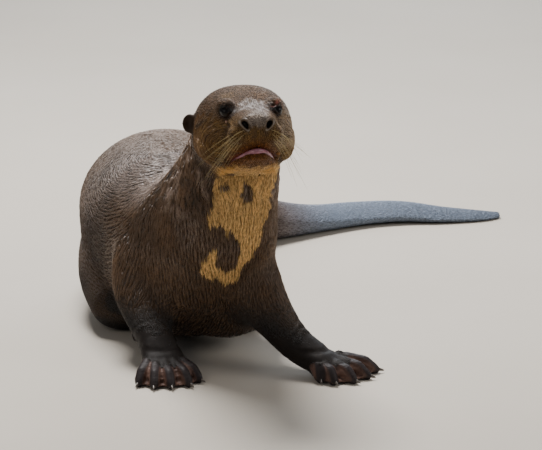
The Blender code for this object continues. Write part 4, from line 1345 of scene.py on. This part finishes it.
# ---------- materials
MIX, NOISE, MARK, SPAN = "ShaderNodeMix", "ShaderNodeTexNoise", "ShaderNodeAttribute", "ShaderNodeMapRange"
COLOURS = {"out": 2, "data_type": "RGBA"}  # for a mix of two colours


def linear(colour):
    """An sRGB hex value as linear red, green, blue and a solid alpha."""
    parts = [int(colour[i : i + 2], 16) / 255 for i in (1, 3, 5)]
    return (*[p / 12.92 if p <= 0.04045 else ((p + 0.055) / 1.055) ** 2.4 for p in parts], 1.0)


def per_size(size):
    """The scale at which a texture's cells have a size in millimetres."""
    return 1 / (size * MM)


class Finish:
    """A material's node tree under construction."""

    def __init__(self, name, **settings):
        self.material = bpy.data.materials.new(name)
        self.material.use_nodes = True
        self.tree = self.material.node_tree
        self.shader = self.tree.nodes["Principled BSDF"]
        for socket, value in settings.items():
            self.shader.inputs[socket.replace("_", " ")].default_value = value

    def add(self, kind, inputs=None, out=0, **settings):
        """A new node's output, with the node's settings; each input is a value or another node's output."""
        node = self.tree.nodes.new(kind)
        for name, value in settings.items():
            setattr(node, name, value)
        for socket, value in (inputs or {}).items():
            if isinstance(value, bpy.types.NodeSocket):
                self.tree.links.new(value, node.inputs[socket])
            else:
                node.inputs[socket].default_value = value
        return node.outputs[out]

    def send(self, output, socket):
        """The output linked to the shader's socket."""
        self.tree.links.new(output, self.shader.inputs[socket])


def laid_over(finish, colour, grain, layers):
    """Layers over a colour, each as strong as its marking; the grain runs between a layer's two colours."""
    for name, low, high in layers:
        mark = finish.add(MARK, out="Fac", attribute_name=name)
        own = finish.add(MIX, {0: grain, 6: linear(low), 7: linear(high)}, **COLOURS)
        colour = finish.add(MIX, {0: mark, 6: colour, 7: own}, **COLOURS)
    return colour


def coat_colours(finish, place):
    """The coat's colour, painted light included: dark chocolate with warmer patches, golden on the muzzle and
    cheek, on the left cheek partly painted sunlight, rusty round the mouth, dark legs partly of painted
    shade, a painted grey-blue sheen of the sky on the tail, a painted grey sheen where the wet hump shines
    and a paler painted sheen where the wet face does, dark round the eyes and in the ears, partly painted
    shade, and cream on the throat going tan under the chin. The patches are as wide as a wet clump, and
    the grain as a few locks."""
    patches = finish.add(NOISE, {"Vector": place, "Scale": per_size(45.45), "Detail": 3.0})
    grain = finish.add(NOISE, {"Vector": place, "Scale": per_size(3.846), "Detail": 2.0})
    colour = finish.add(MIX, {0: patches, 6: linear("#302216"), 7: linear("#5E4731")}, **COLOURS)
    # Laid over it: the sheens of the tail, the hump and the face are painted reflection, and the dark of the
    # legs, round the eyes and in the ears is partly painted shade.
    colour = laid_over(finish, colour, grain, (
        ("golden", "#3E2D19", "#806438"), ("rusty", "#3E1F05", "#7A460B"), ("dark_legs_and_shade", "#0D0907", "#1F1815"),
        ("tail_sky_sheen", "#404650", "#6C7583"), ("painted_hump_sheen", "#524741", "#94877F"), ("painted_face_sheen", "#574E4A", "#B2AAA5"),
        ("shadow", "#150E0B", "#31221B"), ("pad", "#4A3F37", "#8A7F75")))
    cream = finish.add(MIX, {0: grain, 6: linear("#8A6024"), 7: linear("#E4C183")}, **COLOURS)
    throat = laid_over(finish, cream, grain, (("tan", "#74480E", "#B88438"),))
    bib = finish.add(MARK, out="Fac", attribute_name="bib")
    return finish.add(MIX, {0: bib, 6: colour, 7: throat}, **COLOURS)


def wet_guard_hair():
    """Wet guard hair in locks: dark at the root, painted shade, and lighter and glistening at the tip, a
    painted highlight, some locks much glossier than others. The face's shine is warm and the tail's a cool
    grey-blue."""
    finish = Finish("wet_guard_hair", IOR=1.5, Specular_IOR_Level=0.62)
    place = finish.add("ShaderNodeTexCoord", out="Object")
    along, shine, face, tail_sky_sheen = (
        finish.add(MARK, out="Fac", attribute_name=name) for name in ("along", "shine", "face", "tail_sky_sheen"))
    finish.send(finish.add(SPAN, {"Value": shine, "To Min": 0.62, "To Max": 0.29}), "Roughness")
    tint = finish.add(MIX, {0: face, 6: linear("#FFFFFF"), 7: linear("#A08C7C")}, **COLOURS)
    # The tail's reflections are tinted sky blue, to go with its painted sheen.
    tint = finish.add(MIX, {0: tail_sky_sheen, 6: tint, 7: linear("#C9E0FF")}, **COLOURS)
    finish.send(tint, "Specular Tint")
    # Each lock painted darker at its root and lighter at its tip, and its colour scaled by its shine, which
    # carries the painted highlights on the ridges and the painted shade between them.
    to_tip = finish.add(SPAN, {"Value": along, "To Min": 0.5, "To Max": 1.55})
    by_lock = finish.add(SPAN, {"Value": shine, "To Min": 0.22, "To Max": 2.0})
    level = finish.add("ShaderNodeMath", {0: to_tip, 1: by_lock}, operation="MULTIPLY")
    grey = finish.add("ShaderNodeCombineColor", {0: level, 1: level, 2: level})
    colour = coat_colours(finish, place)
    finish.send(finish.add(MIX, {0: 1.0, 6: colour, 7: grey}, **COLOURS, blend_type="MULTIPLY"), "Base Color")
    return finish.material


def wet_hide():
    """The hide with its underfur, darker than the coat over it, and bare leathery skin on the paws, pink
    in the webs, with wet dark rims to the eyes and nostrils and a painted highlight on the nostrils' lower
    edges. It takes the coat's colours with their painted light. Its bumps are grains and hairs about a
    millimetre wide, and its mottling is about a digit wide."""
    finish = Finish("wet_hide", IOR=1.5, Specular_IOR_Level=0.2)
    place = finish.add("ShaderNodeTexCoord", out="Object")
    tail_sky_sheen, dark_legs_and_shade, pad, bare, gloss = (
        finish.add(MARK, out="Fac", attribute_name=name)
        for name in ("tail_sky_sheen", "dark_legs_and_shade", "pad", "bare", "gloss"))
    coat = coat_colours(finish, place)
    dark = (0.55, 0.55, 0.55, 1.0)
    colour = finish.add(MIX, {0: 1.0, 6: coat, 7: dark}, **COLOURS, blend_type="MULTIPLY")
    for mark in (tail_sky_sheen, dark_legs_and_shade, pad):
        colour = finish.add(MIX, {0: mark, 6: colour, 7: coat}, **COLOURS)
    mottle = finish.add(NOISE, {"Vector": place, "Scale": per_size(11.11), "Detail": 4.0})
    # The nostrils' pale lower edges here are a painted highlight.
    colour = laid_over(finish, colour, mottle, (
        ("bare", "#151010", "#302829"), ("webs", "#33231F", "#765B50"), ("lips", "#3A0E08", "#7A3228"),
        ("nostril_glint", "#6E6259", "#A39A8E"), ("rims", "#080605", "#120D0C"), ("lid", "#5A2A24", "#A2665A"),
        ("pale_spot", "#C08D78", "#E2B8A6")))
    finish.send(colour, "Base Color")
    finish.send(finish.add(SPAN, {"Value": gloss, "To Min": 0.62, "To Max": 0.26}), "Roughness")
    grain = finish.add("ShaderNodeTexVoronoi", {"Vector": place, "Scale": per_size(1.4286)})
    fibre = finish.add(NOISE, {"Vector": place, "Scale": per_size(1.1111), "Detail": 3.0})
    height = finish.add(MIX, {0: bare, 6: fibre, 7: grain}, **COLOURS)
    bumps = finish.add("ShaderNodeBump", {"Height": height, "Strength": 0.35, "Distance": 0.0006})
    finish.send(bumps, "Normal")
    return finish.material


def wet_eye():
    """A dark brown eye under a clear wet cornea: a near-black pupil in a thin brown iris."""
    finish = Finish("wet_eye", Roughness=0.07, IOR=1.38, Specular_IOR_Level=0.35)
    polar = finish.add(MARK, out="Fac", attribute_name="polar")
    ramp = finish.add("ShaderNodeValToRGB", {"Fac": polar})
    for stop, at, colour in zip(ramp.node.color_ramp.elements, (0.28, 0.42), ("#030303", "#0E0807")):
        stop.position, stop.color = at, linear(colour)
    finish.send(ramp, "Base Color")
    return finish.material


def horn():
    """Claw horn, dark with paler streaks a few millimetres long, dull from wear."""
    finish = Finish("claw_horn", Roughness=0.32, IOR=1.55)
    place = finish.add("ShaderNodeTexCoord", out="Object")
    streak = finish.add(NOISE, {"Vector": place, "Scale": per_size(2.381), "Detail": 2.0})
    colour = finish.add(MIX, {0: streak, 6: linear("#2B2624"), 7: linear("#6E665E")}, **COLOURS)
    finish.send(colour, "Base Color")
    return finish.material


def wet_flesh():
    """The wet inside edge of the lip: mauve pink in blotches a few millimetres wide, uneven and glossy."""
    finish = Finish("wet_flesh", Roughness=0.18, IOR=1.4, Subsurface_Weight=0.2, Subsurface_Scale=0.002)
    place = finish.add("ShaderNodeTexCoord", out="Object")
    blotch = finish.add(NOISE, {"Vector": place, "Scale": per_size(4.1667), "Detail": 3.0})
    colour = finish.add(MIX, {0: blotch, 6: linear("#55262E"), 7: linear("#BE8896")}, **COLOURS)
    finish.send(colour, "Base Color")
    bumps = finish.add("ShaderNodeBump", {"Height": blotch, "Strength": 0.5, "Distance": 0.0012})
    finish.send(bumps, "Normal")
    return finish.material


def bristle():
    """Whisker bristle: straw with a waxy shine, its shade changing along a whisker."""
    finish = Finish("whisker_bristle", Roughness=0.35, IOR=1.55)
    place = finish.add("ShaderNodeTexCoord", out="Object")
    shade = finish.add(NOISE, {"Vector": place, "Scale": per_size(16.667)})
    colour = finish.add(MIX, {0: shade, 6: linear("#6A532C"), 7: linear("#CDB984")}, **COLOURS)
    finish.send(colour, "Base Color")
    return finish.material


def plaster_floor():
    """A matt pale plaster floor, faintly clouded in patches a third of a metre wide."""
    finish = Finish("studio_floor", Roughness=0.85)
    place = finish.add("ShaderNodeTexCoord", out="Object")
    cloud = finish.add(NOISE, {"Vector": place, "Scale": per_size(333.33), "Detail": 4.0})
    colour = finish.add(MIX, {0: cloud, 6: linear("#B9B1A5"), 7: linear("#C4BDB2")}, **COLOURS)
    finish.send(colour, "Base Color")
    return finish.material


# ---------- the set
SENSOR, LENS = 36.0, 205.04  # mm
AIM, DISTANCE, TILT = (42.0, 100.0, 203.0), 4200.0, 17.0  # mm and degrees
FLOOR_HALF = 8.0  # m


def set_camera():
    """A long lens level with the animal's front, looking down by the tilt at the aim from the distance."""
    data = bpy.data.cameras.new("camera")
    data.lens, data.sensor_width = LENS, SENSOR
    camera = bpy.data.objects.new("camera", data)
    bpy.context.scene.collection.objects.link(camera)
    tilt = math.radians(TILT)
    way = np.array((0, math.cos(tilt), -math.sin(tilt)))
    camera.location = (np.array(AIM) + PLACE - DISTANCE * way) * MM
    camera.rotation_euler = (math.pi / 2 - tilt, 0, 0)
    bpy.context.scene.camera = camera


def add_light(name, at, aim, size, power, colour):
    """A round lamp at a place, turned to its aim; metres and watts."""
    data = bpy.data.lights.new(name, "AREA")
    data.shape, data.size, data.energy, data.color = "DISK", size, power, colour
    light = bpy.data.objects.new(name, data)
    light.location = at
    light.rotation_euler = (Vector(aim) - Vector(at)).to_track_quat("-Z", "Y").to_euler()
    bpy.context.scene.collection.objects.link(light)


def set_lights():
    """A warm lamp overhead, fills from the front and the side, a cool card behind, and a dim cool room."""
    add_light("overhead", (-0.45, 0.6, 2.3), (0, 0, 0.15), 1.0, 120, (1.0, 0.98, 0.96))
    add_light("front_fill", (-1.6, -2.4, 1.8), (0, -0.2, 0.2), 2.0, 15, (1.0, 0.93, 0.84))
    add_light("sky_card", (0.3, 3.2, 1.5), (0, 0.1, 0.2), 2.6, 60, (0.86, 0.93, 1.0))
    add_light("side_fill", (2.4, -0.6, 1.5), (0, 0, 0.2), 1.6, 25, (1.0, 0.96, 0.90))
    world = bpy.data.worlds.new("studio")
    world.use_nodes = True
    world.node_tree.nodes["Background"].inputs["Color"].default_value = (0.83, 0.87, 0.95, 1.0)
    world.node_tree.nodes["Background"].inputs["Strength"].default_value = 0.2
    bpy.context.scene.world = world


def add_floor():
    """A square of floor."""
    mesh = bpy.data.meshes.new("floor")
    corners = [(x * FLOOR_HALF, y * FLOOR_HALF, 0) for x, y in ((-1, -1), (1, -1), (1, 1), (-1, 1))]
    mesh.from_pydata(corners, [], [(0, 1, 2, 3)])
    floor = add_object("floor", mesh)
    mesh.materials.append(plaster_floor())


# ---------- everything together
FLESH = ["head", "neck", "chest", "loin", "rump", "tail_root", "tail_middle", "tail_tip", "lower_jaw"]
FLESH += [f"{part}_{side}" for side in ("right", "left")
          for part in ("ear", "upper_arm", "forearm", "forepaw", "thigh", "hindfoot")]


def mark_skin(skin):
    """The skin's markings at its vertices, with the lips, the rims and lids of the eyes, a painted highlight
    on the nostrils' wet lower edges, the webs and how glossy each place is."""
    points, normals = places(skin.data), normals_of(skin.data)
    _, share, _ = follow(points)
    values = markings(points, normals, share)
    local = to_head(points)
    x, b, u = local.T
    on_head = share[:, ON_HEAD] > 0.4
    lips = bell(u - mouth_height(x), 2.8) * (1 - smooth(np.abs(x - MOUTH_MIDDLE), 30, 36))
    values["lips"] = on_head * lips * (1 - smooth(b, 46, 56))
    rims, glint_on_nostrils, lid = np.zeros((3, len(points)))
    for side in (-1, 1):
        out, _, q = eye_opening(local, side)
        near = np.linalg.norm(local - eye_middle(side), axis=1) < 18
        rims = np.maximum(rims, near * (1 - smooth(out, 1.0, 2.6)))
        lid = np.maximum(lid, near * (side > 0) * bell(out - 2.6, 1.3) * smooth(q, 0.5, 3))
        reach = nostril_reach(local, side)
        rims = np.maximum(rims, (b < 18) * (1 - smooth(reach, 0.85, 1.05)))
        # A painted highlight along each nostril's lower, outer edge.
        low_or_out = smooth(side * x - NOSTRIL_AT[0] - (u - NOSTRIL_AT[2]), -1, 4)
        glint_on_nostrils = np.maximum(glint_on_nostrils, 0.6 * (b < 20) * bell(reach - 1.32, 0.18) * low_or_out)
    values["pale_spot"] = on_head * pale_spot_share(local)
    glossy = [values["pad"], 0.25 * values["bare"], glint_on_nostrils, rims, values["pale_spot"], values["lips"]]
    values["gloss"] = np.max(glossy, axis=0)
    values["rims"], values["nostril_glint"], values["lid"] = rims * on_head, glint_on_nostrils * on_head, lid * on_head
    aside, along, _ = digit_spots(points)
    values["webs"] = values["bare"] * smooth(aside, 4.5, 7.5) * smooth(along, 0.38, 0.5) * (aside < 90)
    for name, value in values.items():
        give(skin.data, name, value)


def main():
    """The set, the skin, the coat and the small pieces."""
    set_camera()
    set_lights()
    add_floor()
    skin = build_skin()
    mark_skin(skin)
    skin.data.materials.append(wet_hide())
    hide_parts(*FLESH)
    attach(skin, "root")
    build_coat(skin, wet_guard_hair())
    eye_finish, horn_finish = wet_eye(), horn()
    for side in (-1, 1):
        build_eye(side, eye_finish)
    for paw, lines in DIGIT_LINES.items():
        for label, line in zip(DIGITS, lines):
            build_claw(paw, label, line, horn_finish)
    build_lips(wet_flesh())
    build_whiskers(bristle())


main()
